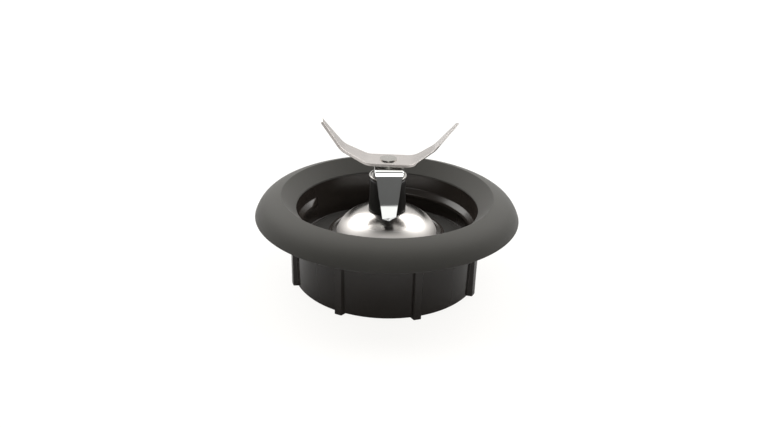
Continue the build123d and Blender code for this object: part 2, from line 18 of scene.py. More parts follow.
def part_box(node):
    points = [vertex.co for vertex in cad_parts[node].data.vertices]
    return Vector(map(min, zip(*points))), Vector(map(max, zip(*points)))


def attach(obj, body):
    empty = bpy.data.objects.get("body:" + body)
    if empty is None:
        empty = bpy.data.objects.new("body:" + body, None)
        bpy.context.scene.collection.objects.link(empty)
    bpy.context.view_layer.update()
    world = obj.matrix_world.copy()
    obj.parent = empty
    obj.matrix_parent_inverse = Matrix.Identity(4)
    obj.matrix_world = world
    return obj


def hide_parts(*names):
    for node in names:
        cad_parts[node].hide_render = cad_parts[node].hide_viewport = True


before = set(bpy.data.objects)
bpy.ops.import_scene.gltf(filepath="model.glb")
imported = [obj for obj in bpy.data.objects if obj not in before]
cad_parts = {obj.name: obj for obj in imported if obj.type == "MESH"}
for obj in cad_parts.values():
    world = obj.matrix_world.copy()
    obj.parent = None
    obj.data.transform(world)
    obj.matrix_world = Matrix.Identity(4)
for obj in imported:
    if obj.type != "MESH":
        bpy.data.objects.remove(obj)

LOG = logging.getLogger("blade_unit")
MM = 0.001
FULL_TURN = 2 * math.pi
PLAIN_COLUMNS = 192
FINE_COLUMNS = 256
ARC_STEP = math.radians(22.5)
HOLD_GAP = 0.2
SHORT_RUN = 4 * HOLD_GAP
MERGE_GAP = 1e-6
SHARP_DEGREES = 40.0
BLADE_SHARP_DEGREES = 15.0
NOISE_DETAIL = 2.0
SPARK_DETAIL = 3.0
ROLLED_OUT = (0.03, 1.0, 0.03)
LEVEL_GAP = 1e-5
# Socket numbers of a node that mixes two colours
MIX_SHARE, MIX_FIRST, MIX_SECOND, MIX_RESULT = 0, 6, 7, 2


class Body(Enum):
    """The two bodies of the unit."""

    BASE = "base"
    ROTOR = "rotor"


class Grain(Enum):
    """How a surface was made, which sets the run of its fine relief."""

    SPARKED = "even grain of a spark-eroded mould"
    RINGS = "rings round the shaft's axis, from turning or spinning"
    STRAIGHT = "straight lines along X, from grinding or rolling"
    PORES = "open pores of sintered metal"


def linear(colour: str) -> tuple[float, float, float, float]:
    """Turn an sRGB hex colour into linear RGBA.

    Args:
        colour: colour such as "#4a4b4d".

    Returns:
        The linear red, green, blue and alpha.
    """
    shares = [int(colour[place:place + 2], 16) / 255 for place in (1, 3, 5)]
    light = [s / 12.92 if s <= 0.04045 else ((s + 0.055) / 1.055) ** 2.4 for s in shares]
    return light[0], light[1], light[2], 1.0


def add_node(tree: bpy.types.NodeTree, kind: str, settings: dict[Any, Any] | None = None,
             links: dict[Any, Any] | None = None) -> bpy.types.Node:
    """Add a node to a tree with its settings and links.

    Args:
        tree: tree that gets the node.
        kind: type of the node.
        settings: values by property name, or by input name or number.
        links: nodes or output sockets by the input name or number that they feed.

    Returns:
        The new node.
    """
    node = tree.nodes.new(kind)
    for key, value in (settings or {}).items():
        if isinstance(key, str) and hasattr(node, key):
            setattr(node, key, value)
        else:
            node.inputs[key].default_value = value
    for key, source in (links or {}).items():
        socket = source.outputs[0] if isinstance(source, bpy.types.Node) else source
        tree.links.new(socket, node.inputs[key])
    return node


def axis_distance(tree: bpy.types.NodeTree, place: bpy.types.NodeSocket) -> bpy.types.NodeSocket:
    """Return a socket with the distance of a place from the shaft's axis."""
    flat = add_node(tree, "ShaderNodeVectorMath", {"operation": "MULTIPLY", 1: (1, 1, 0)}, {0: place})
    return add_node(tree, "ShaderNodeVectorMath", {"operation": "LENGTH"}, {0: flat}).outputs["Value"]


@dataclass(frozen=True)
class Finish:
    """One real material with the way its surface was made.

    The colour drifts between two near values in soft clouds, the roughness drifts
    with it, and a fine relief follows the grain. Real grain is finer than a pixel,
    so it is drawn a few tenths of a millimetre wide to show.
    """

    name: str
    slot: str
    grain: Grain
    colour: str
    second_colour: str
    metallic: float
    roughness: tuple[float, float]
    cloud_mm: float
    grain_mm: float
    relief_mm: float
    ior: float = 1.5
    specular: float = 0.5
    sheen: float = 0.0

    def grain_height(self, tree: bpy.types.NodeTree, place: bpy.types.NodeSocket) -> bpy.types.Node:
        """Add the nodes that draw the fine relief.

        Args:
            tree: the material's tree.
            place: socket with the Object coordinates.

        Returns:
            The node whose first output is the relief, from 0 to 1.
        """
        pitch = 1 / (self.grain_mm * MM)
        if self.grain is Grain.RINGS:
            rings = {"noise_dimensions": "1D", "Scale": pitch, "Detail": NOISE_DETAIL}
            return add_node(tree, "ShaderNodeTexNoise", rings, {"W": axis_distance(tree, place)})
        if self.grain is Grain.STRAIGHT:
            drawn = add_node(tree, "ShaderNodeMapping", {"Scale": ROLLED_OUT}, {"Vector": place})
            lines = {"Scale": pitch, "Detail": NOISE_DETAIL}
            return add_node(tree, "ShaderNodeTexNoise", lines, {"Vector": drawn})
        if self.grain is Grain.PORES:
            return add_node(tree, "ShaderNodeTexVoronoi", {"Scale": pitch}, {"Vector": place})
        sparks = {"Scale": pitch, "Detail": SPARK_DETAIL}
        return add_node(tree, "ShaderNodeTexNoise", sparks, {"Vector": place})

    def gloss(self, tree: bpy.types.NodeTree, place: bpy.types.NodeSocket,
              clouds: bpy.types.Node) -> bpy.types.Node:
        """Return the node that drives the roughness, which drifts with the clouds."""
        low, high = self.roughness
        return add_node(tree, "ShaderNodeMapRange", {"To Min": low, "To Max": high}, {"Value": clouds})

    def tint(self, tree: bpy.types.NodeTree, place: bpy.types.NodeSocket,
             clouds: bpy.types.Node) -> bpy.types.NodeSocket:
        """Return the socket with the colour, which drifts with the clouds."""
        shades = {"data_type": "RGBA", MIX_FIRST: linear(self.colour), MIX_SECOND: linear(self.second_colour)}
        return add_node(tree, "ShaderNodeMix", shades, {MIX_SHARE: clouds}).outputs[MIX_RESULT]

    def material(self) -> bpy.types.Material:
        """Build the finish's material on its first use.

        Returns:
            The material.
        """
        made = bpy.data.materials.get(self.name)
        if made:
            return made
        made = bpy.data.materials.new(self.name)
        made.use_nodes = True
        tree = made.node_tree
        tree.nodes.clear()
        place = add_node(tree, "ShaderNodeTexCoord").outputs["Object"]
        clouds = add_node(tree, "ShaderNodeTexNoise",
                          {"Scale": 1 / (self.cloud_mm * MM), "Detail": NOISE_DETAIL}, {"Vector": place})
        colour = self.tint(tree, place, clouds)
        gloss = self.gloss(tree, place, clouds)
        height = self.grain_height(tree, place)
        relief = add_node(tree, "ShaderNodeBump", {"Distance": self.relief_mm * MM, "Strength": 1.0},
                          {"Height": height})
        shader = add_node(
            tree, "ShaderNodeBsdfPrincipled",
            {"Metallic": self.metallic, "IOR": self.ior, "Specular IOR Level": self.specular,
             "Sheen Weight": self.sheen},
            {"Base Color": colour, "Roughness": gloss, "Normal": relief})
        add_node(tree, "ShaderNodeOutputMaterial", None, {"Surface": shader})
        return made


@dataclass(frozen=True)
class WheelFinishWithPaintedRim(Finish):
    """Metal polished on a wheel: a mirror at the crown, duller towards the rim, with a painted highlight that
    makes its colour paler towards the rim.
    """

    crown_mm: float = 15.0
    rim_mm: float = 20.5
    rim_roughness: float = 0.62
    # Colour of the rim, paler than the crown: a painted highlight
    rim_painted_highlight_colour: str = "#d6d3d0"

    def rim_dullness_and_painted_highlight(self, tree: bpy.types.NodeTree, place: bpy.types.NodeSocket) -> bpy.types.Node:
        """Return the node that grows from 0 at the crown to 1 at the rim, for the duller gloss and the
        painted highlight.
        """
        return add_node(tree, "ShaderNodeMapRange",
                        {"interpolation_type": "SMOOTHSTEP", "From Min": self.crown_mm * MM,
                         "From Max": self.rim_mm * MM}, {"Value": axis_distance(tree, place)})

    def gloss(self, tree: bpy.types.NodeTree, place: bpy.types.NodeSocket,
              clouds: bpy.types.Node) -> bpy.types.Node:
        """Return the roughness of the crown as it grows to that of the rim."""
        links = {"Value": self.rim_dullness_and_painted_highlight(tree, place), "To Min": super().gloss(tree, place, clouds)}
        return add_node(tree, "ShaderNodeMapRange", {"To Max": self.rim_roughness}, links)

    def tint(self, tree: bpy.types.NodeTree, place: bpy.types.NodeSocket,
             clouds: bpy.types.Node) -> bpy.types.NodeSocket:
        """Return the colour of the crown as it pales to that of the rim: a painted highlight."""
        links = {MIX_SHARE: self.rim_dullness_and_painted_highlight(tree, place), MIX_FIRST: super().tint(tree, place, clouds)}
        return add_node(tree, "ShaderNodeMix", {"data_type": "RGBA", MIX_SECOND: linear(self.rim_painted_highlight_colour)},
                        links).outputs[MIX_RESULT]


# ABS moulded in a polished, lightly sparked tool: near black with soft broad reflections
BLACK_ABS = Finish(
    "black_abs_moulded", "collar_black", Grain.SPARKED, "#282421", "#2d2824", metallic=0.0,
    roughness=(0.15, 0.21), cloud_mm=9.0, grain_mm=0.45, relief_mm=0.004, ior=1.5, specular=0.36)
# Elastomer moulded over the flange: mid grey, matt, with a dry fine tooth
GREY_ELASTOMER = Finish(
    "grey_elastomer_soft_touch", "ring_grey", Grain.SPARKED, "#43423f", "#484744", metallic=0.0,
    roughness=(0.52, 0.60), cloud_mm=14.0, grain_mm=0.40, relief_mm=0.012, ior=1.48, specular=0.08,
    sheen=0.13)
# Nitrile rubber moulded flat: dark grey and matt
NITRILE = Finish(
    "nitrile_rubber_moulded", "seal_rubber", Grain.SPARKED, "#2b2a28", "#312f2d", metallic=0.0,
    roughness=(0.60, 0.70), cloud_mm=6.0, grain_mm=0.35, relief_mm=0.010, ior=1.52, specular=0.2)
# Acetal moulded in a plain tool: black with a waxy half gloss
BLACK_ACETAL = Finish(
    "black_acetal_moulded", "housing_black", Grain.SPARKED, "#20201e", "#252422", metallic=0.0,
    roughness=(0.36, 0.44), cloud_mm=7.0, grain_mm=0.40, relief_mm=0.005, ior=1.48)
# Stainless sheet, deep drawn and polished on a wheel: soft mirror with faint rings, duller at the rim, with a
# painted highlight that pales the colour towards the rim
POLISHED_STAINLESS = WheelFinishWithPaintedRim(
    "stainless_polished_dome", "polished_steel", Grain.RINGS, "#94918e", "#9d9a97", metallic=1.0,
    roughness=(0.17, 0.22), cloud_mm=8.0, grain_mm=0.50, relief_mm=0.0015)
# Stainless strip polished after bending: mirror with faint rolling lines
POLISHED_STRIP = Finish(
    "stainless_polished_strip", "polished_steel", Grain.STRAIGHT, "#d8dad9", "#e2e4e3", metallic=1.0,
    roughness=(0.008, 0.016), cloud_mm=6.0, grain_mm=0.40, relief_mm=0.0004)
# Stainless strip with a belt-ground face: pale satin, fine lines along the blade
SATIN_STRIP = Finish(
    "stainless_satin_strip", "blade_steel", Grain.STRAIGHT, "#afaaa7", "#b8b3b0", metallic=1.0,
    roughness=(0.20, 0.26), cloud_mm=5.0, grain_mm=0.30, relief_mm=0.002)
# The same strip where the edge was ground on a stone: brighter and tighter
GROUND_EDGE = Finish(
    "stainless_ground_edge", "blade_steel", Grain.STRAIGHT, "#c1beba", "#cac8c4", metallic=1.0,
    roughness=(0.20, 0.28), cloud_mm=3.0, grain_mm=0.22, relief_mm=0.003)
# Stainless bar, turned: tool rings with a clean gloss
TURNED_STAINLESS = Finish(
    "stainless_turned", "blade_steel", Grain.RINGS, "#969490", "#a09e9a", metallic=1.0,
    roughness=(0.22, 0.30), cloud_mm=4.0, grain_mm=0.25, relief_mm=0.003)
# The same bar, polished after turning: glossier with a brighter rim, and its colour painted lighter than the
# turned bar's as a painted highlight
TURNED_POLISHED_PAINTED_LIGHTER = Finish(
    "stainless_turned_polished_painted_lighter", "blade_steel", Grain.RINGS, "#9c9a96", "#a6a4a0", metallic=1.0,
    roughness=(0.14, 0.20), cloud_mm=4.0, grain_mm=0.25, relief_mm=0.002)
# Spring steel with a zinc plate: grey, slightly cloudy
ZINC_STEEL = Finish(
    "steel_zinc_plated", "fastener_steel", Grain.SPARKED, "#a9abac", "#b8babb", metallic=1.0,
    roughness=(0.28, 0.40), cloud_mm=3.0, grain_mm=0.30, relief_mm=0.003)
# Bronze pressed from powder and filled with oil: brown, dark pores
SINTERED_BRONZE = Finish(
    "bronze_sintered", "bush_bronze", Grain.PORES, "#8a6238", "#9b7145", metallic=1.0,
    roughness=(0.38, 0.50), cloud_mm=2.0, grain_mm=0.30, relief_mm=0.02)
# Brass, turned from bar: warm yellow with tool rings
TURNED_BRASS = Finish(
    "brass_turned", "insert_brass", Grain.RINGS, "#b8924a", "#c6a25a", metallic=1.0,
    roughness=(0.22, 0.32), cloud_mm=4.0, grain_mm=0.30, relief_mm=0.004)
# Nylon in its own colour: milky, half matt
NATURAL_NYLON = Finish(
    "nylon_natural", "washer_nylon", Grain.SPARKED, "#d9d5c8", "#e2dfd4", metallic=0.0,
    roughness=(0.40, 0.50), cloud_mm=5.0, grain_mm=0.30, relief_mm=0.004, ior=1.53)


@dataclass(frozen=True)
class Corner:
    """One corner of a turned section, with the radius of its rounding."""

    radius: float
    height: float
    rounding: float = 0.0


def arc_corners(centre: Vector, radius: float, reach_from: float, reach_to: float,
                steps: int = 20) -> list[Corner]:
    """Return corners along the upper half of a circle in the section.

    Args:
        centre: centre as (distance from the axis, height).
        radius: radius of the circle.
        reach_from: distance from the axis where the arc starts.
        reach_to: distance from the axis where it ends.
        steps: number of stretches.

    Returns:
        The corners, both ends included.
    """
    start = math.asin((reach_from - centre.x) / radius)
    sweep = math.asin((reach_to - centre.x) / radius) - start
    turns = [start + sweep * step / steps for step in range(steps + 1)]
    return [Corner(centre.x + radius * math.sin(turn), centre.y + radius * math.cos(turn)) for turn in turns]


def soften(corners: Sequence[Corner]) -> list[Vector]:
    """Round the corners of a closed section and hold its straight runs flat.

    Args:
        corners: corners in order, with the solid on the left.

    Returns:
        The section's points as (distance from the axis, height).
    """
    rounded: list[Vector] = []
    for index, corner in enumerate(corners):
        before, after = corners[index - 1], corners[(index + 1) % len(corners)]
        here = Vector((corner.radius, corner.height))
        back = (Vector((before.radius, before.height)) - here).normalized()
        ahead = (Vector((after.radius, after.height)) - here).normalized()
        if corner.rounding == 0:
            rounded.append(here)
            continue
        opening = back.angle(ahead)
        turn = math.pi - opening
        way = 1 if back.cross(ahead) < 0 else -1
        centre = here + (back + ahead).normalized() * corner.rounding / math.sin(opening / 2)
        arm = here + back * corner.rounding / math.tan(opening / 2) - centre
        steps = max(2, math.ceil(turn / ARC_STEP))
        rounded += [centre + Matrix.Rotation(way * turn * step / steps, 2) @ arm for step in range(steps + 1)]
    held: list[Vector] = []
    for index, here in enumerate(rounded):
        run = rounded[(index + 1) % len(rounded)] - here
        held.append(here)
        if run.length > SHORT_RUN:
            held += [here + run.normalized() * HOLD_GAP, here + run - run.normalized() * HOLD_GAP]
    return held


def extent(node: str) -> tuple[float, float, float]:
    """Return a node's radius, foot and top in millimetres."""
    low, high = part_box(node)
    return high.x / MM, low.z / MM, high.z / MM


def even_angles(columns: int = PLAIN_COLUMNS) -> list[float]:
    """Return evenly spaced angles round the axis."""
    return [FULL_TURN * column / columns for column in range(columns)]


def new_piece(name: str, points: Sequence[Sequence[float]], faces: Sequence[Sequence[int]],
              sharp_degrees: float = SHARP_DEGREES) -> bpy.types.Object:
    """Make a closed piece from points in millimetres.

    Args:
        name: name of the piece.
        points: its points.
        faces: its faces as point numbers.
        sharp_degrees: angle from which an edge is drawn sharp.

    Returns:
        The piece, with merged points and outward faces, in the scene.
    """
    mesh = bpy.data.meshes.new(name)
    mesh.from_pydata([Vector(point) * MM for point in points], [], faces)
    work = bmesh.new()
    work.from_mesh(mesh)
    bmesh.ops.remove_doubles(work, verts=work.verts, dist=MERGE_GAP)
    bmesh.ops.recalc_face_normals(work, faces=work.faces)
    work.to_mesh(mesh)
    work.free()
    mesh.shade_smooth()
    mesh.set_sharp_from_angle(angle=math.radians(sharp_degrees))
    piece = bpy.data.objects.new(name, mesh)
    bpy.context.collection.objects.link(piece)
    return piece


def turned(name: str, section: Sequence[Vector], angles: Sequence[float],
           shift: Callable[[Vector, float], Vector] | None = None) -> bpy.types.Object:
    """Spin a closed section round the axis.

    Args:
        name: name of the piece.
        section: its points as (distance from the axis, height).
        angles: angles of the columns.
        shift: optional rule that moves a section point at an angle.

    Returns:
        The piece.
    """
    columns, rows = len(angles), len(section)
    points = []
    for spot in section:
        for angle in angles:
            moved = shift(spot, angle) if shift else spot
            points.append((moved.x * math.cos(angle), moved.x * math.sin(angle), moved.y))
    faces = []
    for row in range(rows):
        above = (row + 1) % rows * columns
        for column in range(columns):
            beside = (column + 1) % columns
            faces.append((row * columns + column, row * columns + beside, above + beside, above + column))
    return new_piece(name, points, faces)


def settle(piece: bpy.types.Object, sharp_degrees: float = SHARP_DEGREES) -> None:
    """Turn a piece's modifiers into plain mesh.

    Args:
        piece: piece with live modifiers.
        sharp_degrees: angle from which an edge is drawn sharp.
    """
    ready = piece.evaluated_get(bpy.context.evaluated_depsgraph_get())
    mesh = bpy.data.meshes.new_from_object(ready)
    piece.modifiers.clear()
    piece.data = mesh
    mesh.name = piece.name
    mesh.shade_smooth()
    mesh.set_sharp_from_angle(angle=math.radians(sharp_degrees))


def flatten(piece: bpy.types.Object, reach: float, half: float) -> None:
    """Press two flats along X into a round stem or hole.

    Args:
        piece: the piece.
        reach: radius of the round part; points farther out stay.
        half: half the distance across the flats.
    """
    for point in piece.data.vertices:
        if math.hypot(point.co.x, point.co.y) < reach * MM + MERGE_GAP:
            point.co.y = max(-half * MM, min(half * MM, point.co.y))


def install(piece: bpy.types.Object, node: str, body: Body, *finishes: Finish) -> None:
    """Dress a piece and let it stand for a node.

    Args:
        piece: the piece.
        node: node that it replaces.
        body: body that it moves with.
        finishes: finishes by material number.
    """
    piece.data.materials.clear()
    for finish in finishes:
        piece.data.materials.append(finish.material())
    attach(piece, body.value)
    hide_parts(node)
    LOG.info("%s: %d faces", piece.name, len(piece.data.polygons))


def softened_copy(node: str, edge: float, flat_degrees: float = 0.5, corner_degrees: float = 35.0,
                  sharp_degrees: float = 30.0) -> bpy.types.Object:
    """Copy a node's solid with its edges broken, as a deburred piece has them.

    Args:
        node: node to copy.
        edge: width of the broken edge.
        flat_degrees: angle up to which faces join into one flat.
        corner_degrees: angle from which an edge is broken.
        sharp_degrees: angle from which an edge is then drawn sharp.

    Returns:
        The copy.
    """
    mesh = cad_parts[node].data.copy()
    mesh.materials.clear()
    work = bmesh.new()
    work.from_mesh(mesh)
    bmesh.ops.remove_doubles(work, verts=work.verts, dist=MERGE_GAP)
    bmesh.ops.dissolve_limit(work, angle_limit=math.radians(flat_degrees), verts=work.verts,
                            edges=work.edges)
    work.to_mesh(mesh)
    work.free()
    piece = bpy.data.objects.new(f"{node}_finished", mesh)
    bpy.context.collection.objects.link(piece)
    bevel = piece.modifiers.new("broken_edge", "BEVEL")
    bevel.width = edge * MM
    bevel.segments = 2
    bevel.limit_method = "ANGLE"
    bevel.angle_limit = math.radians(corner_degrees)
    settle(piece, sharp_degrees)
    return piece


# Steps of the collar's node tree: name of the result, operation, and terms, which are
# inputs of the tree, earlier results or plain numbers
MOULDING_STEPS: tuple[tuple[Any, ...], ...] = (
    # Distance round the skirt from the nearest rib
    ("angle", "ARCTAN2", "along", "across"),
    ("from_first", "SUBTRACT", "angle", "Rib First"),
    ("half_step", "DIVIDE", math.pi, "Rib Count"),
    ("back_step", "MULTIPLY", "half_step", -1.0),
    ("wrapped", "WRAP", "from_first", "half_step", "back_step"),
    ("turned_off", "ABSOLUTE", "wrapped"),
    ("beside", "MULTIPLY", "turned_off", "reach"),
    # Ribs: a rounded trapezium that stands out from the skirt and runs into the flange
    ("to_root", "SUBTRACT", "Rib Half Root", "beside"),
    ("flank", "SUBTRACT", "Rib Half Root", "Rib Half Tip"),
    ("rib_rise", "DIVIDE", "to_root", "flank"),
    ("rib_capped", "SMOOTH_MIN", "rib_rise", 1.0, "Blend"),
    ("rib_shape", "SMOOTH_MAX", "rib_capped", 0.0, "Blend"),
    ("short_of_tip", "SUBTRACT", "Rib Radius", "reach"),
    ("to_tip", "MAXIMUM", "short_of_tip", 0.0),
    ("lift", "MULTIPLY", "rib_shape", "to_tip"),
    ("outside", "GREATER_THAN", "reach", "Skirt Inside"),
    ("below", "LESS_THAN", "height", "Flange Under"),
    ("on_skirt", "MULTIPLY", "outside", "below"),
    ("rib_out", "MULTIPLY", "lift", "on_skirt"),
    # Webs: thin walls that hang from the floor's underside at the ribs' angles
    ("to_face", "SUBTRACT", "Web Half", "beside"),
    ("web_rise", "DIVIDE", "to_face", "Web Draft"),
    ("web_share", "ADD", "web_rise", 1.0),
    ("web_capped", "MINIMUM", "web_share", 1.0),
    ("web_shape", "MAXIMUM", "web_capped", 0.0),
    ("under", "COMPARE", "height", "Floor Under", LEVEL_GAP),
    ("drop", "MULTIPLY", "web_shape", "Web Height"),
    ("web_down", "MULTIPLY", "drop", "under"),
    ("web_up", "MULTIPLY", "web_down", -1.0),
    # Thread: lengths of one helix inside the cup, with flanks above, below and at their ends
    ("from_start", "SUBTRACT", "angle", "Thread First"),
    ("whole", "WRAP", "from_start", FULL_TURN, 0.0),
    ("turn_share", "DIVIDE", "whole", FULL_TURN),
    ("climb", "MULTIPLY", "turn_share", "Pitch"),
    ("level", "SUBTRACT", "height", "climb"),
    ("span", "DIVIDE", FULL_TURN, "Thread Count"),
    ("local", "WRAP", "whole", "span", 0.0),
    ("left", "SUBTRACT", "Thread Arc", "local"),
    ("nearest", "MINIMUM", "local", "left"),
    ("run", "MULTIPLY", "nearest", "reach"),
    ("end_rise", "DIVIDE", "run", "End Flank"),
    ("from_top", "SUBTRACT", "Thread Top", "level"),
    ("top_rise", "DIVIDE", "from_top", "Top Flank"),
    ("from_low", "SUBTRACT", "level", "Thread Low"),
    ("low_rise", "DIVIDE", "from_low", "Under Flank"),
    ("flank_rise", "SMOOTH_MIN", "top_rise", "low_rise", "Blend"),
    ("ended_rise", "SMOOTH_MIN", "flank_rise", "end_rise", "End Blend"),
    ("thread_capped", "SMOOTH_MIN", "ended_rise", 1.0, "Blend"),
    ("thread_shape", "SMOOTH_MAX", "thread_capped", 0.0, "Blend"),
    ("stand", "MULTIPLY", "thread_shape", "Thread Depth"),
    ("inside", "LESS_THAN", "reach", "Cup Mouth"),
    ("past_floor", "GREATER_THAN", "reach", "Cup Floor"),
    ("above", "GREATER_THAN", "height", "Floor Height"),
    ("in_cup", "MULTIPLY", "inside", "past_floor"),
    ("on_wall", "MULTIPLY", "in_cup", "above"),
    ("thread_in", "MULTIPLY", "stand", "on_wall"),
    ("outward", "SUBTRACT", "rib_out", "thread_in"),
)


@dataclass
class Collar:
    """Black moulding: ribbed skirt, threaded cup, floor, seat of the dome and tower.

    The wall's rows are the heights of its mesh lines above and below the thread.
    The columns are close together beside each rib and beside each end of the thread.
    """

    skirt_radius: float = 40.6
    skirt_wall: float = 2.2
    foot_chamfer: float = 0.5
    cup_mouth_radius: float = 39.3
    cup_floor_radius: float = 38.7
    cup_wall: float = 1.8
    floor_height: float = 15.0
    floor_thickness: float = 2.6
    rim_height: float = 32.4
    flange_under: float = 27.3
    flange_top: float = 29.7
    key_radius: float = 44.6
    key_width: float = 2.0
    seat_radius: float = 25.6
    seat_top: float = 20.4
    seat_wall: float = 2.6
    bead_radius: float = 24.0
    bead_width: float = 0.9
    bead_height: float = 0.5
    groove: tuple[float, float] = (21.17, 22.03)
    groove_floor: float = 18.9
    tower_radius: float = 9.35
    tower_top: float = 29.42
    hole_radius: float = 7.15
    hole_half_flats: float = 6.55
    foot_rounds: tuple[float, float, float] = (0.3, 0.25, 0.3)
    neck_round: float = 0.4
    flange_round: float = 0.3
    key_round: float = 0.2
    floor_round: float = 0.2
    seat_round: float = 0.5
    bead_rounds: tuple[float, float] = (0.15, 0.2)
    groove_round: float = 0.2
    tower_round: float = 0.3
    hole_round: float = 0.2
    well_round: float = 0.6
    rib_count: int = 8
    rib_first: float = -116.56
    rib_radius: float = 42.5
    rib_tip: float = 3.0
    rib_root: float = 4.4
    web_height: float = 4.0
    web_thickness: float = 1.8
    web_draft: float = 0.25
    pitch: float = 5.2
    thread_depth: float = 2.0
    thread_first: float = -34.0
    thread_arc: float = 124.0
    thread_count: int = 2
    thread_top: float = 24.0
    top_flank: float = 2.2
    crest: float = 1.2
    under_flank: float = 1.0
    end_flank: float = 6.0
    blend: float = 0.12
    end_blend: float = 0.5
    skirt_margin: float = 0.3
    floor_margin: float = 1.4
    rim_margin: float = 0.6
    thread_margin: float = 1.0
    upper_rows: tuple[float, ...] = (31.6, 30.0, 28.0, 26.4)
    lower_rows: tuple[float, ...] = (17.4, 16.2)
    row_step: float = 0.2
    row_margin: float = 0.4
    column_degrees: float = 2.0
    rib_columns: tuple[int, float] = (14, 0.25)
    end_columns: tuple[int, float] = (9, 0.3)
    least_degrees: float = 0.1
    near: float = 0.1
    hair: float = 0.01

    def angles(self) -> list[float]:
        """Space the columns, close together at the ribs and at the thread's ends.

        Returns:
            Their angles round the axis.
        """
        dense: list[tuple[float, int, float]] = []
        for rib in range(self.rib_count):
            dense.append((self.rib_first + 360 / self.rib_count * rib, *self.rib_columns))
        for length in range(self.thread_count):
            start = self.thread_first + 360 / self.thread_count * length
            dense += [(end, *self.end_columns) for end in (start, start + self.thread_arc)]
        spots = {self.column_degrees * step for step in range(round(360 / self.column_degrees))}
        for middle, reach, gap in dense:
            spots |= {round((middle + gap * step) % 360, 3) for step in range(-reach, reach + 1)}
        ordered = sorted(spots)
        gaps = [ahead - spot for spot, ahead in zip(ordered, ordered[1:] + [360.0])]
        return [math.radians(spot) for spot, gap in zip(ordered, gaps) if gap > self.least_degrees]

    @property
    def thread_low(self) -> float:
        """Return the height of the thread's lower edge where it starts."""
        return self.thread_top - self.top_flank - self.crest - self.under_flank

    def climb(self, angle: float) -> float:
        """Return how far the thread has climbed at an angle, let down again where there is none.

        Args:
            angle: angle round the axis.

        Returns:
            The climb.
        """
        turned_by = (math.degrees(angle) - self.thread_first) % 360
        last = self.thread_arc + 360 / self.thread_count * (self.thread_count - 1)
        if turned_by <= last:
            return self.pitch * turned_by / 360
        return self.pitch * last / 360 * (360 - turned_by) / (360 - last)

    def follow_thread(self, spot: Vector, angle: float) -> Vector:
        """Let the cup wall's rows follow the thread, so that its flanks run along them.

        Args:
            spot: section point.
            angle: angle of the column.

        Returns:
            The moved point.
        """
        if not self.cup_floor_radius - self.near < spot.x < self.cup_mouth_radius + self.hair:
            return spot
        low, high = self.floor_height + self.floor_margin, self.rim_height - self.rim_margin
        first, last = self.thread_low - self.thread_margin, self.thread_top + self.thread_margin
        share = min((spot.y - low) / (first - low), (high - spot.y) / (high - last))
        return spot + Vector((0, max(0.0, min(1.0, share)) * self.climb(angle)))

    def section(self) -> list[Vector]:
        """Draw the moulding's section without ribs, webs and thread.

        Returns:
            The section's points as (distance from the axis, height).
        """
        floor_under = self.floor_height - self.floor_thickness
        seat_under = self.seat_top - self.seat_wall
        seat_inner = self.seat_radius - self.seat_wall
        cup_outer = self.cup_mouth_radius + self.cup_wall
        skirt_inner = self.skirt_radius - self.skirt_wall
        flange_radius, _, key_top = extent("collar")
        taper = (self.cup_mouth_radius - self.cup_floor_radius) / (self.rim_height - self.floor_height)
        fine = round((self.thread_top - self.thread_low + 2 * self.row_margin) / self.row_step)
        rows = [*self.upper_rows, self.thread_top + self.thread_margin]
        rows += [self.thread_top + self.row_margin - self.row_step * row for row in range(fine + 1)]
        rows += [self.thread_low - self.thread_margin, *self.lower_rows]
        wall = [Corner(self.cup_floor_radius + taper * (row - self.floor_height), row) for row in rows]
        return soften([
            Corner(skirt_inner, 0, self.foot_rounds[0]),
            Corner(self.skirt_radius - self.foot_chamfer, 0, self.foot_rounds[1]),
            Corner(self.skirt_radius, self.foot_chamfer, self.foot_rounds[2]),
            Corner(cup_outer, self.flange_under, self.neck_round),
            Corner(flange_radius, self.flange_under, self.flange_round),
            Corner(flange_radius, self.flange_top, self.flange_round),
            Corner(self.key_radius + self.key_width, self.flange_top),
            Corner(self.key_radius + self.key_width, key_top, self.key_round),
            Corner(self.key_radius, key_top, self.key_round),
            Corner(self.key_radius, self.flange_top),
            Corner(cup_outer, self.flange_top),
            Corner(cup_outer, self.rim_height),
            Corner(self.cup_mouth_radius, self.rim_height),
            *wall,
            Corner(self.cup_floor_radius, self.floor_height, self.floor_round),
            Corner(self.seat_radius, self.floor_height),
            Corner(self.seat_radius, self.seat_top, self.seat_round),
            Corner(self.bead_radius + self.bead_width / 2, self.seat_top, self.bead_rounds[0]),
            Corner(self.bead_radius, self.seat_top + self.bead_height, self.bead_rounds[1]),
            Corner(self.bead_radius - self.bead_width / 2, self.seat_top, self.bead_rounds[0]),
            Corner(self.groove[1], self.seat_top, self.groove_round),
            Corner(self.groove[1], self.groove_floor),
            Corner(self.groove[0], self.groove_floor),
            Corner(self.groove[0], self.seat_top, self.groove_round),
            Corner(self.tower_radius, self.seat_top, self.seat_round),
            Corner(self.tower_radius, self.tower_top, self.tower_round),
            Corner(self.hole_radius, self.tower_top, self.hole_round),
            Corner(self.hole_radius, seat_under, self.hole_round),
            Corner(seat_inner, seat_under, self.well_round),
            Corner(seat_inner, floor_under),
            Corner(skirt_inner, floor_under),
        ])

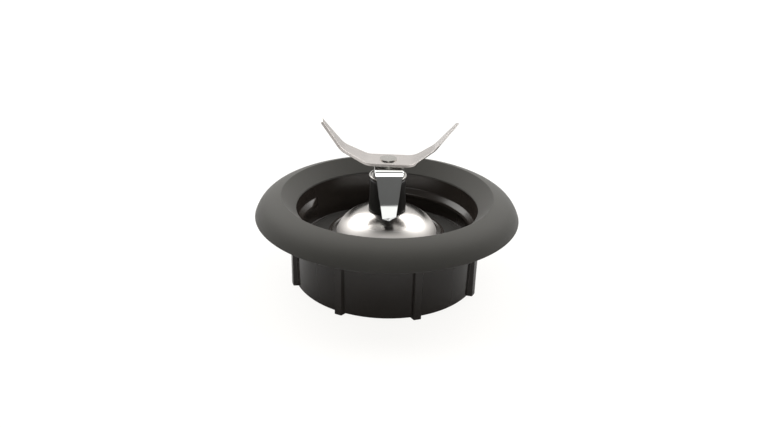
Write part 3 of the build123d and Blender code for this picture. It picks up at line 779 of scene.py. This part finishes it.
    def moulding_tree(self) -> bpy.types.NodeTree:
        """Build the tree that raises the ribs, the webs and the thread from the plain moulding.

        Returns:
            The tree, whose inputs are the sizes that tree_values gives.
        """
        tree = bpy.data.node_groups.new("collar_moulding", "GeometryNodeTree")
        tree.interface.new_socket("Geometry", in_out="INPUT", socket_type="NodeSocketGeometry")
        for name in self.tree_values():
            tree.interface.new_socket(name, in_out="INPUT", socket_type="NodeSocketFloat")
        tree.interface.new_socket("Finish", in_out="INPUT", socket_type="NodeSocketMaterial")
        tree.interface.new_socket("Geometry", in_out="OUTPUT", socket_type="NodeSocketGeometry")
        given = add_node(tree, "NodeGroupInput").outputs
        place = add_node(tree, "GeometryNodeInputPosition").outputs[0]
        across, along, height = add_node(tree, "ShaderNodeSeparateXYZ", None, {0: place}).outputs
        found = {socket.name: socket for socket in given}
        found |= {"across": across, "along": along, "height": height, "reach": axis_distance(tree, place)}
        for name, operation, *terms in MOULDING_STEPS:
            fixed = {spot: term for spot, term in enumerate(terms) if not isinstance(term, str)}
            linked = {spot: found[term] for spot, term in enumerate(terms) if isinstance(term, str)}
            step = add_node(tree, "ShaderNodeMath", {"operation": operation, **fixed}, linked)
            found[name] = step.outputs[0]
        flat = add_node(tree, "ShaderNodeCombineXYZ", None, {"X": across, "Y": along})
        spoke = add_node(tree, "ShaderNodeVectorMath", {"operation": "NORMALIZE"}, {0: flat})
        moved = add_node(tree, "ShaderNodeVectorMath", {"operation": "SCALE"},
                         {0: spoke, "Scale": found["outward"]})
        hung = add_node(tree, "ShaderNodeCombineXYZ", None, {"Z": found["web_up"]})
        offset = add_node(tree, "ShaderNodeVectorMath", {"operation": "ADD"}, {0: moved, 1: hung})
        shaped = add_node(tree, "GeometryNodeSetPosition", None,
                          {"Geometry": given["Geometry"], "Offset": offset})
        real = add_node(tree, "GeometryNodeRealizeInstances", None, {"Geometry": shaped})
        dressed = add_node(tree, "GeometryNodeSetMaterial", None,
                           {"Geometry": real, "Material": given["Finish"]})
        add_node(tree, "NodeGroupOutput", None, {"Geometry": dressed})
        return tree

    def tree_values(self) -> dict[str, float]:
        """Work out the values of the moulding tree's inputs.

        Returns:
            The values by name, in metres and radians.
        """
        return {
            "Rib Count": self.rib_count,
            "Rib First": math.radians(self.rib_first),
            "Rib Radius": self.rib_radius * MM,
            "Rib Half Tip": self.rib_tip / 2 * MM,
            "Rib Half Root": self.rib_root / 2 * MM,
            "Skirt Inside": (self.skirt_radius - self.foot_chamfer - self.skirt_margin) * MM,
            "Flange Under": (self.flange_under + self.hair) * MM,
            "Floor Under": (self.floor_height - self.floor_thickness) * MM,
            "Web Height": self.web_height * MM,
            "Web Half": self.web_thickness / 2 * MM,
            "Web Draft": self.web_draft * MM,
            "Pitch": self.pitch * MM,
            "Thread First": math.radians(self.thread_first),
            "Thread Arc": math.radians(self.thread_arc),
            "Thread Count": self.thread_count,
            "Thread Depth": self.thread_depth * MM,
            "Thread Top": self.thread_top * MM,
            "Thread Low": self.thread_low * MM,
            "Top Flank": self.top_flank * MM,
            "Under Flank": self.under_flank * MM,
            "End Flank": self.end_flank * MM,
            "Cup Mouth": (self.cup_mouth_radius + self.hair) * MM,
            "Cup Floor": (self.cup_floor_radius - self.near) * MM,
            "Floor Height": (self.floor_height + self.thread_margin) * MM,
            "Blend": self.blend,
            "End Blend": self.end_blend,
        }

    def build(self) -> None:
        """Build the moulding, raise its features and install it."""
        piece = turned("collar_moulding", self.section(), self.angles(), self.follow_thread)
        flatten(piece, self.hole_radius, self.hole_half_flats)
        tree = self.moulding_tree()
        modifier = piece.modifiers.new("moulding", "NODES")
        modifier.node_group = tree
        values = self.tree_values()
        for socket in tree.interface.items_tree:
            if socket.in_out == "INPUT" and socket.name in values:
                modifier[socket.identifier] = float(values[socket.name])
            if socket.name == "Finish":
                modifier[socket.identifier] = BLACK_ABS.material()
        settle(piece)
        install(piece, "collar", Body.BASE, BLACK_ABS)


@dataclass
class SoftRing:
    """Grey elastomer ring over the flange: crisp crest, and one curve down to a thin edge."""

    crest_radius: float = 45.45
    crest_height: float = 38.97
    crest_round: float = 0.25
    crest_slope: float = 12.0
    crest_pull: float = 0.52
    edge: float = 0.25
    edge_slope: float = 70.0
    edge_pull: float = 0.3
    step: float = 0.6
    mouth_edge: float = 0.25
    key_height: float = 3.4
    flank_points: int = 36
    collar: Collar = field(default_factory=Collar)

    def flank(self, radius: float, under: float) -> list[Corner]:
        """Return the outside, steep at the thin edge and almost level at the crest.

        Args:
            radius: radius of the edge.
            under: height of the ring's under face.

        Returns:
            The corners from the edge up, without the crest.
        """
        edge = Vector((radius, under + self.edge))
        crest = Vector((self.crest_radius, self.crest_height))
        chord = (crest - edge).length
        steep, gentle = math.radians(self.edge_slope), math.radians(self.crest_slope)
        from_edge = edge + Vector((-math.cos(steep), math.sin(steep))) * chord * self.edge_pull
        to_crest = crest + Vector((math.cos(gentle), -math.sin(gentle))) * chord * self.crest_pull
        points = interpolate_bezier(edge, from_edge, to_crest, crest, self.flank_points)
        return [Corner(point.x, point.y) for point in points[:-1]]

    def build(self) -> None:
        """Build the ring and install it."""
        radius, under, _ = extent("soft_ring")
        mouth, rim = self.collar.cup_mouth_radius, self.collar.rim_height
        wall = mouth + self.collar.cup_wall
        key_inner = self.collar.key_radius
        key_outer = key_inner + self.collar.key_width
        section = soften([
            Corner(wall, under),
            Corner(key_inner, under),
            Corner(key_inner, under + self.key_height),
            Corner(key_outer, under + self.key_height),
            Corner(key_outer, under),
            Corner(radius - self.edge, under, self.edge / 2),
            *self.flank(radius, under),
            Corner(self.crest_radius, self.crest_height, self.crest_round),
            Corner(mouth, rim + self.step, self.mouth_edge),
            Corner(mouth, rim),
            Corner(wall, rim),
        ])
        piece = turned("soft_ring_moulded", section, even_angles(FINE_COLUMNS))
        install(piece, "soft_ring", Body.BASE, GREY_ELASTOMER)


@dataclass
class JarGasket:
    """Flat rubber ring on the cup's floor, with a bead along each side."""

    thickness: float = 1.85
    bead_width: float = 1.2
    rounding: float = 0.1
    bore_radius: float = 25.75

    def build(self) -> None:
        """Build the gasket and install it."""
        radius, foot, top = extent("jar_gasket")
        face = foot + self.thickness
        piece = turned("jar_gasket_moulded", soften([
            Corner(self.bore_radius, foot),
            Corner(radius, foot),
            Corner(radius, top, self.rounding),
            Corner(radius - self.bead_width, top, self.rounding),
            Corner(radius - self.bead_width, face),
            Corner(self.bore_radius + self.bead_width, face),
            Corner(self.bore_radius + self.bead_width, top, self.rounding),
            Corner(self.bore_radius, top, self.rounding),
        ]), even_angles())
        install(piece, "jar_gasket", Body.BASE, NITRILE)


@dataclass
class Dome:
    """Polished cap, drawn from sheet: shallow crown, tighter knuckle, and a flat land under the boss."""

    crown_radius: float = 31.0
    crown_reach: float = 16.0
    wall_height: float = 21.09
    sheet: float = 0.8
    land_radius: float = 8.8
    hole_radius: float = 7.15

    def build(self) -> None:
        """Build the dome and install it."""
        radius, foot, top = extent("dome")
        crown = Vector((0, top - math.sqrt(self.crown_radius ** 2 - self.land_radius ** 2)))
        lean = math.asin(self.crown_reach / self.crown_radius)
        outward = Vector((math.sin(lean), math.cos(lean)))
        meeting = crown + outward * self.crown_radius
        across = meeting - Vector((radius, self.wall_height))
        knuckle_radius = across.length_squared / (2 * across.dot(outward))
        knuckle = meeting - outward * knuckle_radius
        inner = self.crown_radius - self.sheet
        inner_land = math.sqrt(inner ** 2 - (top - self.sheet - crown.y) ** 2)
        inner_meeting = inner * outward.x
        piece = turned("dome_drawn", soften([
            Corner(radius - self.sheet, foot),
            Corner(radius, foot),
            *arc_corners(knuckle, knuckle_radius, radius, self.crown_reach),
            *arc_corners(crown, self.crown_radius, self.crown_reach, self.land_radius)[1:],
            Corner(self.hole_radius, top),
            Corner(self.hole_radius, top - self.sheet),
            *arc_corners(crown, inner, inner_land, inner_meeting),
            *arc_corners(knuckle, knuckle_radius - self.sheet, inner_meeting, radius - self.sheet)[1:],
        ]), even_angles(FINE_COLUMNS))
        install(piece, "dome", Body.BASE, POLISHED_STAINLESS)


@dataclass
class BearingHousing:
    """Black sleeve: tapered boss on the dome, stem with flats through the collar."""

    boss_foot_radius: float = 8.05
    boss_top_radius: float = 7.6
    boss_foot: float = 31.42
    boss_edge: float = 0.5
    stem_radius: float = 7.0
    stem_half_flats: float = 6.4
    bore_radius: float = 5.5
    stem_rounds: tuple[float, float] = (0.2, 0.4)
    boss_round: float = 0.3
    mouth_round: float = 0.15

    def build(self) -> None:
        """Build the housing and install it."""
        _, foot, top = extent("bearing_housing")
        piece = turned("bearing_housing_moulded", soften([
            Corner(self.bore_radius, foot, self.stem_rounds[0]),
            Corner(self.stem_radius, foot, self.stem_rounds[1]),
            Corner(self.stem_radius, self.boss_foot),
            Corner(self.boss_foot_radius, self.boss_foot, self.boss_round),
            Corner(self.boss_top_radius, top - self.boss_edge, self.boss_round),
            Corner(self.boss_top_radius - self.boss_edge, top, self.boss_round),
            Corner(self.bore_radius, top, self.mouth_round),
        ]), even_angles())
        flatten(piece, self.stem_radius, self.stem_half_flats)
        install(piece, "bearing_housing", Body.BASE, BLACK_ACETAL)


@dataclass(frozen=True)
class SpigotHole:
    """Hole with two flats along X, which fits the spigot of the shaft."""

    radius: float = 3.03
    half_flats: float = 2.33
    columns: int = 96

    def press_flats(self, piece: bpy.types.Object) -> None:
        """Press the flats into a round hole that a piece was turned with."""
        flatten(piece, self.radius, self.half_flats)

    def cut(self, piece: bpy.types.Object, low: float, high: float) -> None:
        """Cut the hole through a piece.

        Args:
            piece: the piece.
            low: height below its under face.
            high: height above its top face.
        """
        outline = []
        for angle in even_angles(self.columns):
            side = max(-self.half_flats, min(self.half_flats, self.radius * math.sin(angle)))
            outline.append((self.radius * math.cos(angle), side))
        points = [(x, y, level) for level in (low, high) for x, y in outline]
        faces: list[tuple[int, ...]] = [
            (spot, (spot + 1) % self.columns, (spot + 1) % self.columns + self.columns, spot + self.columns)
            for spot in range(self.columns)]
        faces += [tuple(range(self.columns)), tuple(range(self.columns, 2 * self.columns))]
        plug = new_piece("hole_plug", points, faces)
        cutter = piece.modifiers.new("spigot_hole", "BOOLEAN")
        cutter.operation = "DIFFERENCE"
        cutter.object = plug
        settle(piece, BLADE_SHARP_DEGREES)
        bpy.data.objects.remove(plug)


@dataclass
class CapWasher:
    """Dished steel disc that turns over the seal."""

    rim_width: float = 0.9
    dish: float = 0.3
    foot_round: float = 0.2
    rim_round: float = 0.5
    dish_round: float = 0.1
    bore: SpigotHole = SpigotHole()

    def build(self) -> None:
        """Build the washer and install it."""
        radius, foot, top = extent("cap_washer")
        bore = self.bore.radius
        piece = turned("cap_washer_turned", soften([
            Corner(bore, foot),
            Corner(radius, foot, self.foot_round),
            Corner(radius, top, self.rim_round),
            Corner(radius - self.rim_width, top, self.dish_round),
            Corner(radius - self.rim_width, top - self.dish, self.dish_round),
            Corner(bore, top - self.dish),
        ]), even_angles())
        self.bore.press_flats(piece)
        # The washer's steel is painted lighter than the turned shaft's: a painted highlight
        install(piece, "cap_washer", Body.ROTOR, TURNED_POLISHED_PAINTED_LIGHTER)


# Stretches of a strip's section, counted from its first corner
BEVEL_STRETCHES = (3, 4)
LOWER_EDGE_STRETCHES = (0, 1, 10, 11)


@dataclass(frozen=True)
class Arm:
    """One arm of a blade, bent from strip, drawn along +X with its cutting edge to -Y.

    bends are (distance from the last bend, angle after it in degrees, radius), tip
    is the last distance, and widths are (distance along the strip, half width).
    cut is how much shorter the tip is at its cutting edge, middle and back edge.
    stoned are the stretches of the section that were deburred with a stone.
    edge_softness and crown_gap are shares of edge, the width of a broken edge.
    """

    bends: tuple[tuple[float, float, float], ...]
    tip: float
    widths: tuple[tuple[float, float], ...]
    cut: tuple[float, float, float]
    cut_from: float
    bevel_from: float
    bevel_run: float
    bevel_width: float
    sheet: float = 1.2
    land: float = 0.3
    edge: float = 0.1
    edge_softness: float = 0.3
    crown_gap: float = 3.0
    stoned: tuple[int, ...] = ()
    step: float = 1.2
    bend_step: float = math.radians(5)

    def path(self) -> list[tuple[float, Vector, float]]:
        """Lay the strip's under face along its bends.

        Returns:
            Stations along it as (distance, point, angle).
        """
        stations: list[tuple[float, Vector, float]] = []
        corner, angle, start = Vector((0, 0)), 0.0, 0.0
        travelled = 0.0
        for length, after, radius in (*self.bends, (self.tip, None, 0.0)):
            way = Vector((math.cos(angle), math.sin(angle)))
            turn = 0.0 if after is None else math.radians(after) - angle
            setback = radius * math.tan(abs(turn) / 2)
            run = length - start - setback
            parts = max(1, round(run / self.step))
            for part in range(parts + 1):
                along = run * part / parts
                stations.append((travelled + along, corner + way * (start + along), angle))
            travelled += run
            corner = corner + way * length
            if after is None:
                break
            centre = corner - way * setback + Vector((-way.y, way.x)) * math.copysign(radius, turn)
            arm = corner - way * setback - centre
            parts = max(2, math.ceil(abs(turn) / self.bend_step))
            for part in range(1, parts):
                bent = turn * part / parts
                stations.append((travelled + radius * abs(bent),
                                 centre + Matrix.Rotation(bent, 2) @ arm, angle + bent))
            travelled += radius * abs(turn)
            angle += turn
            start = setback
        return stations

    def half_width(self, distance: float) -> float:
        """Taper the strip.

        Args:
            distance: distance along the strip.

        Returns:
            The half width there.
        """
        for (near, narrow), (far, wide) in zip(self.widths, self.widths[1:]):
            if distance <= far:
                return narrow + (wide - narrow) * max(0.0, distance - near) / (far - near)
        return self.widths[-1][1]

    def ring(self, distance: float) -> list[tuple[float, float]]:
        """Draw the strip's section as (across, up from the under face).

        Args:
            distance: distance along the strip.

        Returns:
            The points, the ground face being the stretch from the fourth to the sixth.
        """
        half, edge, sheet = self.half_width(distance), self.edge, self.sheet
        share = max(0.0, min(1.0, (distance - self.bevel_from) / self.bevel_run))
        share = share * share * (3 - 2 * share)
        low_end = sheet - edge + (self.land - sheet + edge) * share
        top_end = edge + (self.bevel_width - edge) * share
        soft = self.edge_softness * edge
        crown = min(-half + top_end, half - self.crown_gap * edge)
        middle = ((-half + soft) * (1 - share) + (crown - half) / 2 * share,
                  (sheet - soft) * (1 - share) + (sheet + low_end) / 2 * share)
        points = [
            (-half + edge, 0.0), (-half + soft, soft), (-half, edge),
            (-half, low_end), middle, (crown, sheet), ((crown + half - edge) / 2, sheet),
            (half - edge, sheet), (half - soft, sheet - soft), (half, sheet - edge),
            (half, edge), (half - soft, soft), (half - edge, 0.0), (0.0, 0.0),
        ]
        # Drawn with the ground face up, and turned over, because it is the under face
        return [(across, sheet - up) for across, up in points]

    def shell(self, foot: float, heading: float) -> tuple[list[Vector], list[tuple[int, ...]], list[int]]:
        """Loft the arm.

        Args:
            foot: height of the strip's under face at the hub.
            heading: angle of the arm round the shaft, in degrees.

        Returns:
            The points, the faces and the material number of each face.
        """
        stations = self.path()
        length = stations[-1][0]
        turn = Matrix.Rotation(math.radians(heading), 3, "Z")
        points: list[Vector] = []
        count = 0
        for distance, _, _ in stations:
            ring = self.ring(distance)
            count = len(ring)
            half = self.half_width(distance)
            pull = max(0.0, (distance - self.cut_from) / (length - self.cut_from))
            for across, up in ring:
                side = across / half
                cut = self.cut[1] + (self.cut[0] - self.cut[1]) * max(0.0, -side)
                cut += (self.cut[2] - self.cut[1]) * max(0.0, side)
                spot, angle = self.at(stations, distance - cut * pull)
                lifted = spot + Vector((-math.sin(angle), math.cos(angle))) * up
                points.append(turn @ Vector((lifted.x, across, lifted.y + foot)))
        faces: list[tuple[int, ...]] = []
        kinds: list[int] = []
        for row in range(len(stations) - 1):
            ground = stations[row][0] >= self.bevel_from
            for spot in range(count):
                beside = (spot + 1) % count
                faces.append((row * count + spot, row * count + beside,
                              (row + 1) * count + beside, (row + 1) * count + spot))
                kinds.append(int(spot in self.stoned or ground and spot in BEVEL_STRETCHES))
        last = (len(stations) - 1) * count
        faces.append(tuple(last + spot for spot in range(count)))
        kinds.append(0)
        return points, faces, kinds

    @staticmethod
    def at(stations: list[tuple[float, Vector, float]], distance: float) -> tuple[Vector, float]:
        """Find a place between two stations.

        Args:
            stations: stations along the strip.
            distance: distance along them.

        Returns:
            The point and the angle there.
        """
        for (near, spot, angle), (far, next_spot, next_angle) in zip(stations, stations[1:]):
            if distance <= far and far > near:
                share = (distance - near) / (far - near)
                return spot.lerp(next_spot, share), angle + (next_angle - angle) * share
        return stations[-1][1], stations[-1][2]


def bent_blade(name: str, arms: Sequence[tuple[Arm, float]], foot: float) -> bpy.types.Object:
    """Make a two-armed blade with the hole that fits the shaft.

    Args:
        name: name of the piece.
        arms: the arms with their headings in degrees.
        foot: height of the blade's under face at the hub.

    Returns:
        The blade, with the ground faces under material number 1.
    """
    points: list[Vector] = []
    faces: list[tuple[int, ...]] = []
    kinds: list[int] = []
    for arm, heading in arms:
        arm_points, arm_faces, arm_kinds = arm.shell(foot, heading)
        faces += [tuple(len(points) + spot for spot in face) for face in arm_faces]
        points += arm_points
        kinds += arm_kinds
    piece = new_piece(name, points, faces, BLADE_SHARP_DEGREES)
    piece.data.materials.append(None)
    piece.data.materials.append(None)
    piece.data.polygons.foreach_set("material_index", kinds)
    sheet = arms[0][0].sheet
    SpigotHole().cut(piece, foot - sheet, foot + 2 * sheet)
    return piece


@dataclass
class UpperBlade:
    """Satin blade whose arms curve up twice, a little differently on each side.

    An arm's sizes are its flat, then the angle and length of its inner and outer stretch.
    """

    heading: float = -2.6
    right: tuple[float, float, float, float, float] = (11.0, 35.5, 10.64, 50.6, 15.2)
    left: tuple[float, float, float, float, float] = (8.9, 26.0, 12.2, 52.3, 15.2)
    first_radius: float = 10.0
    second_radius: float = 10.0
    taper_lead: float = 2.0
    root_half: float = 6.25
    mid_half: float = 4.05
    tip_half: float = 1.3
    tip_slant: float = 1.2
    bevel_width: float = 2.2
    bevel_run: float = 2.5
    under: float = 52.72

    def arm(self, sizes: tuple[float, float, float, float, float]) -> Arm:
        """Return one arm.

        Args:
            sizes: flat, first angle and length, second angle and length.

        Returns:
            The arm.
        """
        flat, first, inner, second, outer = sizes
        return Arm(
            bends=((flat, first, self.first_radius), (inner, second, self.second_radius)), tip=outer,
            widths=((flat - self.taper_lead, self.root_half), (flat + inner, self.mid_half),
                    (flat + inner + outer, self.tip_half)),
            cut=(0.0, self.tip_slant / 2, self.tip_slant), cut_from=flat + inner,
            bevel_from=flat, bevel_run=self.bevel_run, bevel_width=self.bevel_width)

    def build(self) -> None:
        """Build the blade and install it."""
        arms = ((self.arm(self.right), self.heading), (self.arm(self.left), self.heading + 180))
        piece = bent_blade("upper_blade_bent", arms, self.under)
        install(piece, "upper_blade", Body.ROTOR, SATIN_STRIP, GROUND_EDGE)


@dataclass
class LowerBlade:
    """Polished blade whose arms fold down and narrow to a pointed tip."""

    heading: float = 3.5
    flat_half: float = 8.3
    bend_radius: float = 1.9
    bend_angle: float = -69.0
    arm_length: float = 19.8
    shoulder_drop: float = 0.6
    shoulder_run: float = 1.4
    hub_half: float = 6.0
    root_half: float = 5.4
    tip_half: float = 3.0
    tip_cut: tuple[float, float, float] = (1.0, 0.0, 1.8)
    bevel_width: float = 1.4
    bevel_run: float = 1.5
    edge: float = 0.22
    under: float = 50.72

    def build(self) -> None:
        """Build the blade and install it."""
        shoulder = self.flat_half + self.shoulder_drop
        root = shoulder + self.shoulder_run
        arm = Arm(
            bends=((self.flat_half, self.bend_angle, self.bend_radius),), tip=self.arm_length,
            widths=((shoulder, self.hub_half), (root, self.root_half),
                    (self.flat_half + self.arm_length, self.tip_half)),
            cut=self.tip_cut, cut_from=root, bevel_from=root,
            bevel_run=self.bevel_run, bevel_width=self.bevel_width, edge=self.edge,
            stoned=LOWER_EDGE_STRETCHES)
        arms = ((arm, self.heading - 90), (arm, self.heading + 90))
        piece = bent_blade("lower_blade_folded", arms, self.under)
        install(piece, "lower_blade", Body.ROTOR, POLISHED_STRIP, GROUND_EDGE)


@dataclass
class DriveShaft:
    """Turned shaft whose flat head was spread over the upper blade, so that it is wider at the top."""

    edge: float = 0.12
    head_foot: float = 53.92
    head_height: float = 0.5
    undercut: float = 0.2

    def build(self) -> None:
        """Build the shaft and install it."""
        piece = softened_copy("drive_shaft", self.edge)
        rim = self.head_foot + self.edge
        for point in piece.data.vertices:
            height = point.co.z / MM
            if height > rim + self.edge:
                point.co.z = (self.head_foot + self.head_height) * MM
            elif height > self.head_foot - self.edge:
                side = point.co.xy
                point.co.xy = side - side.normalized() * self.undercut * MM
        install(piece, "drive_shaft", Body.ROTOR, TURNED_STAINLESS)


@dataclass
class SmallPieces:
    """Turned, pressed and moulded pieces that keep their form and get broken edges or a finish."""

    edge: float = 0.12

    def build(self) -> None:
        """Dress every small piece."""
        deburred = {
            "hub_spacer": (Body.ROTOR, TURNED_STAINLESS),
            "blade_spacer": (Body.ROTOR, TURNED_STAINLESS), "drive_coupling": (Body.ROTOR, BLACK_ACETAL),
            "coupling_screw": (Body.ROTOR, ZINC_STEEL), "coupling_insert": (Body.ROTOR, TURNED_BRASS),
            "lock_nut": (Body.BASE, TURNED_BRASS), "lock_washer": (Body.BASE, ZINC_STEEL),
            "retaining_ring": (Body.ROTOR, ZINC_STEEL), "thrust_washer": (Body.ROTOR, NATURAL_NYLON),
        }
        for node, (body, finish) in deburred.items():
            install(softened_copy(node, self.edge), node, body, finish)
        plain = {
            "dome_seal": NITRILE, "shaft_seal": NITRILE, "upper_bush": SINTERED_BRONZE,
            "lower_bush": SINTERED_BRONZE, "seal_spring": ZINC_STEEL,
        }
        for node, finish in plain.items():
            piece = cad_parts[node]
            piece.data.materials.clear()
            piece.data.materials.append(finish.material())
            LOG.info("%s keeps its solid", node)


@dataclass(frozen=True)
class SoftBox:
    """One lamp: the way to it, its size in metres and its power in watts."""

    name: str
    way: tuple[float, float, float]
    width: float
    depth: float
    power: float


@dataclass
class Studio:
    """White sweep, soft light all round, and the camera at the photograph's view.

    Heights and depths of the room are shares of the way to a wall, or degrees
    above the horizon; the gap is the dark slit between two ceiling panels.
    """

    elevation: float = 25.52
    distance: float = 343.34
    aim_height: float = 20.0
    focal_pixels: float = 778.05
    roll: float = 1.45
    aim_pixel: tuple[float, float] = (386.5, 231.6)
    picture: tuple[int, int] = (760, 428)
    sensor: float = 36.0
    clip_start: float = 0.01
    floor_half: float = 6000.0
    floor_colour: str = "#616161"
    floor_glow: float = 0.90
    table_colour: str = "#dedede"
    table_drop: float = 0.5
    sheet_roughness: float = 0.9
    light_colour: str = "#fffefc"
    gap_light: float = 0.16
    gap_tilt: float = 12.0
    gap_halves: tuple[float, float] = (5.0, 11.0)
    gap_heights: tuple[float, float] = (0.6, 0.8)
    wall_depths: tuple[float, float] = (-0.2, 0.4)
    back_light: float = 1.25
    back_shares: tuple[float, float] = (0.72, 1.25)
    back_heights: tuple[float, float] = (12.0, 33.0)
    ground_light: float = 0.12
    ground_heights: tuple[float, float] = (-0.25, -0.1)
    front_light: float = 0.17
    card_light: float = 1.35
    card_top: float = 18.28
    card_depth: float = 0.93
    card_blurs: tuple[float, float] = (0.002, 0.01)
    sweep_light: float = 1.0
    box_distance: float = 2.5
    boxes: tuple[SoftBox, ...] = (
        SoftBox("left_box", (-0.54, 0.45, 0.71), 1.9, 1.9, 42.0),
        SoftBox("right_box", (0.54, 0.45, 0.71), 1.9, 1.9, 40.0),
        SoftBox("front_strip", (0.06, -0.69, 0.72), 0.5, 2.0, 10.0),
    )

    def build_camera(self) -> None:
        """Place the camera, and frame the unit with its shift."""
        wide, tall = self.picture
        data = bpy.data.cameras.new("photo_view")
        data.sensor_width = self.sensor
        data.lens = self.focal_pixels / wide * self.sensor
        data.shift_x = (wide / 2 - self.aim_pixel[0]) / wide
        data.shift_y = (self.aim_pixel[1] - tall / 2) / wide
        data.clip_start = self.clip_start
        tilt = math.radians(self.elevation)
        aim = Vector((0, 0, self.aim_height * MM))
        back = Vector((0, -math.cos(tilt), math.sin(tilt)))
        camera = bpy.data.objects.new("photo_view", data)
        camera.location = aim + back * self.distance * MM
        level = (-back).to_track_quat("-Z", "Y")
        camera.rotation_mode = "QUATERNION"
        camera.rotation_quaternion = level @ Quaternion((0, 0, 1), math.radians(self.roll))
        bpy.context.collection.objects.link(camera)
        bpy.context.scene.camera = camera

    def plane(self, name: str, height: float, colour: str, glow: float) -> bpy.types.Object:
        """Lay a wide level sheet of opal acrylic.

        Args:
            name: name of the sheet.
            height: its height.
            colour: its own colour.
            glow: strength of the light that comes through it.

        Returns:
            The sheet.
        """
        half, level = self.floor_half * MM, height * MM
        mesh = bpy.data.meshes.new(name)
        corners = [(-half, -half, level), (half, -half, level), (half, half, level), (-half, half, level)]
        mesh.from_pydata(corners, [], [(0, 1, 2, 3)])
        sheet = bpy.data.objects.new(name, mesh)
        bpy.context.collection.objects.link(sheet)
        opal = bpy.data.materials.new(f"opal_acrylic_{name}")
        opal.use_nodes = True
        shader = opal.node_tree.nodes["Principled BSDF"]
        for socket, value in {
            "Base Color": linear(colour), "Roughness": self.sheet_roughness, "Specular IOR Level": 0.0,
            "Emission Color": linear(self.light_colour), "Emission Strength": glow,
        }.items():
            shader.inputs[socket].default_value = value
        mesh.materials.append(opal)
        return sheet

    def build_floor(self) -> None:
        """Lay the lit floor that the camera sees, and the dimmer table that shiny pieces mirror."""
        floor = self.plane("floor", 0.0, self.floor_colour, self.floor_glow)
        floor.visible_diffuse = False
        floor.visible_glossy = False
        floor.visible_shadow = False
        table = self.plane("mirrored_table", -self.table_drop, self.table_colour, 0.0)
        table.visible_camera = False
        table.visible_diffuse = False
        table.visible_shadow = False

    def build_room(self) -> None:
        """Fill the room with light: pale walls, a dim one behind the camera, and a white card before it."""
        world = bpy.data.worlds.new("white_room")
        bpy.context.scene.world = world
        bpy.context.scene.view_settings.view_transform = "Standard"
        world.use_nodes = True
        tree = world.node_tree
        way = add_node(tree, "ShaderNodeTexCoord").outputs["Generated"]
        _, depth, height = add_node(tree, "ShaderNodeSeparateXYZ", None, {0: way}).outputs
        back_low, back_high, gap_inner, gap_outer, card_top = (
            math.sin(math.radians(angle)) for angle in (*self.back_heights, *self.gap_halves, self.card_top))
        top_blur, side_blur = self.card_blurs
        tilt = math.radians(self.gap_tilt)
        slit = {"operation": "DOT_PRODUCT", 1: (0, math.cos(tilt), math.sin(tilt))}
        past_gap = add_node(tree, "ShaderNodeVectorMath", slit, {0: way}).outputs["Value"]
        found: dict[str, Any] = {
            "depth": depth, "height": height,
            "off_gap": add_node(tree, "ShaderNodeMath", {"operation": "ABSOLUTE"}, {0: past_gap}),
            "seen": add_node(tree, "ShaderNodeLightPath").outputs["Is Camera Ray"],
        }
        # A blend goes from a first level to a second while what it follows passes two limits.
        # A level is a number or an earlier blend, and another blend may scale the result.
        for name, followed, limits, levels, scaled_by in (
            ("share", "height", (back_low, back_high), self.back_shares, None),
            ("wall", "depth", self.wall_depths, (self.front_light, self.back_light), "share"),
            ("ceiling", "off_gap", (gap_inner, gap_outer), (self.gap_light, "wall"), None),
            ("upper_room", "height", self.gap_heights, ("wall", "ceiling"), None),
            ("room", "height", self.ground_heights, (self.ground_light, "upper_room"), None),
            ("below", "height", (card_top - top_blur, card_top + top_blur), (1.0, 0.0), None),
            ("card", "depth", (side_blur - self.card_depth, -self.card_depth), (0.0, 1.0), "below"),
            ("carded_room", "card", (0.0, 1.0), ("room", self.card_light), None),
            ("strength", "seen", (0.0, 1.0), ("carded_room", self.sweep_light), None),
        ):
            settings = {"From Min": limits[0], "From Max": limits[1]}
            links = {"Value": found[followed]}
            for end, level in zip(("To Min", "To Max"), levels):
                if isinstance(level, str):
                    links[end] = found[level]
                else:
                    settings[end] = level
            found[name] = add_node(tree, "ShaderNodeMapRange",
                                   {"interpolation_type": "SMOOTHSTEP", **settings}, links)
            if scaled_by:
                found[name] = add_node(tree, "ShaderNodeMath", {"operation": "MULTIPLY"},
                                       {0: found[name], 1: found[scaled_by]})
        backdrop = tree.nodes["Background"]
        backdrop.inputs["Color"].default_value = linear(self.light_colour)
        tree.links.new(found["strength"].outputs[0], backdrop.inputs["Strength"])

    def build_lamps(self) -> None:
        """Hang a soft box on each side, a little behind the unit, and a narrow one high in front."""
        for box in self.boxes:
            data = bpy.data.lights.new(box.name, "AREA")
            data.shape = "RECTANGLE"
            data.size = box.width
            data.size_y = box.depth
            data.energy = box.power
            data.color = linear(self.light_colour)[:3]
            lamp = bpy.data.objects.new(box.name, data)
            lamp.location = Vector(box.way) * self.box_distance
            lamp.rotation_mode = "QUATERNION"
            lamp.rotation_quaternion = (-lamp.location).to_track_quat("-Z", "Y")
            bpy.context.collection.objects.link(lamp)


def main() -> None:
    """Build every sub-assembly, then the studio, and note the sizes."""
    logging.basicConfig(level=logging.INFO, format="%(name)s: %(message)s")
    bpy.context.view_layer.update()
    for assembly in (Collar(), SoftRing(), JarGasket(), Dome(), BearingHousing(), CapWasher(), UpperBlade(),
                     LowerBlade(), DriveShaft(), SmallPieces()):
        assembly.build()
    studio = Studio()
    studio.build_floor()
    studio.build_room()
    studio.build_lamps()
    studio.build_camera()


if __name__ == "__main__":
    main()
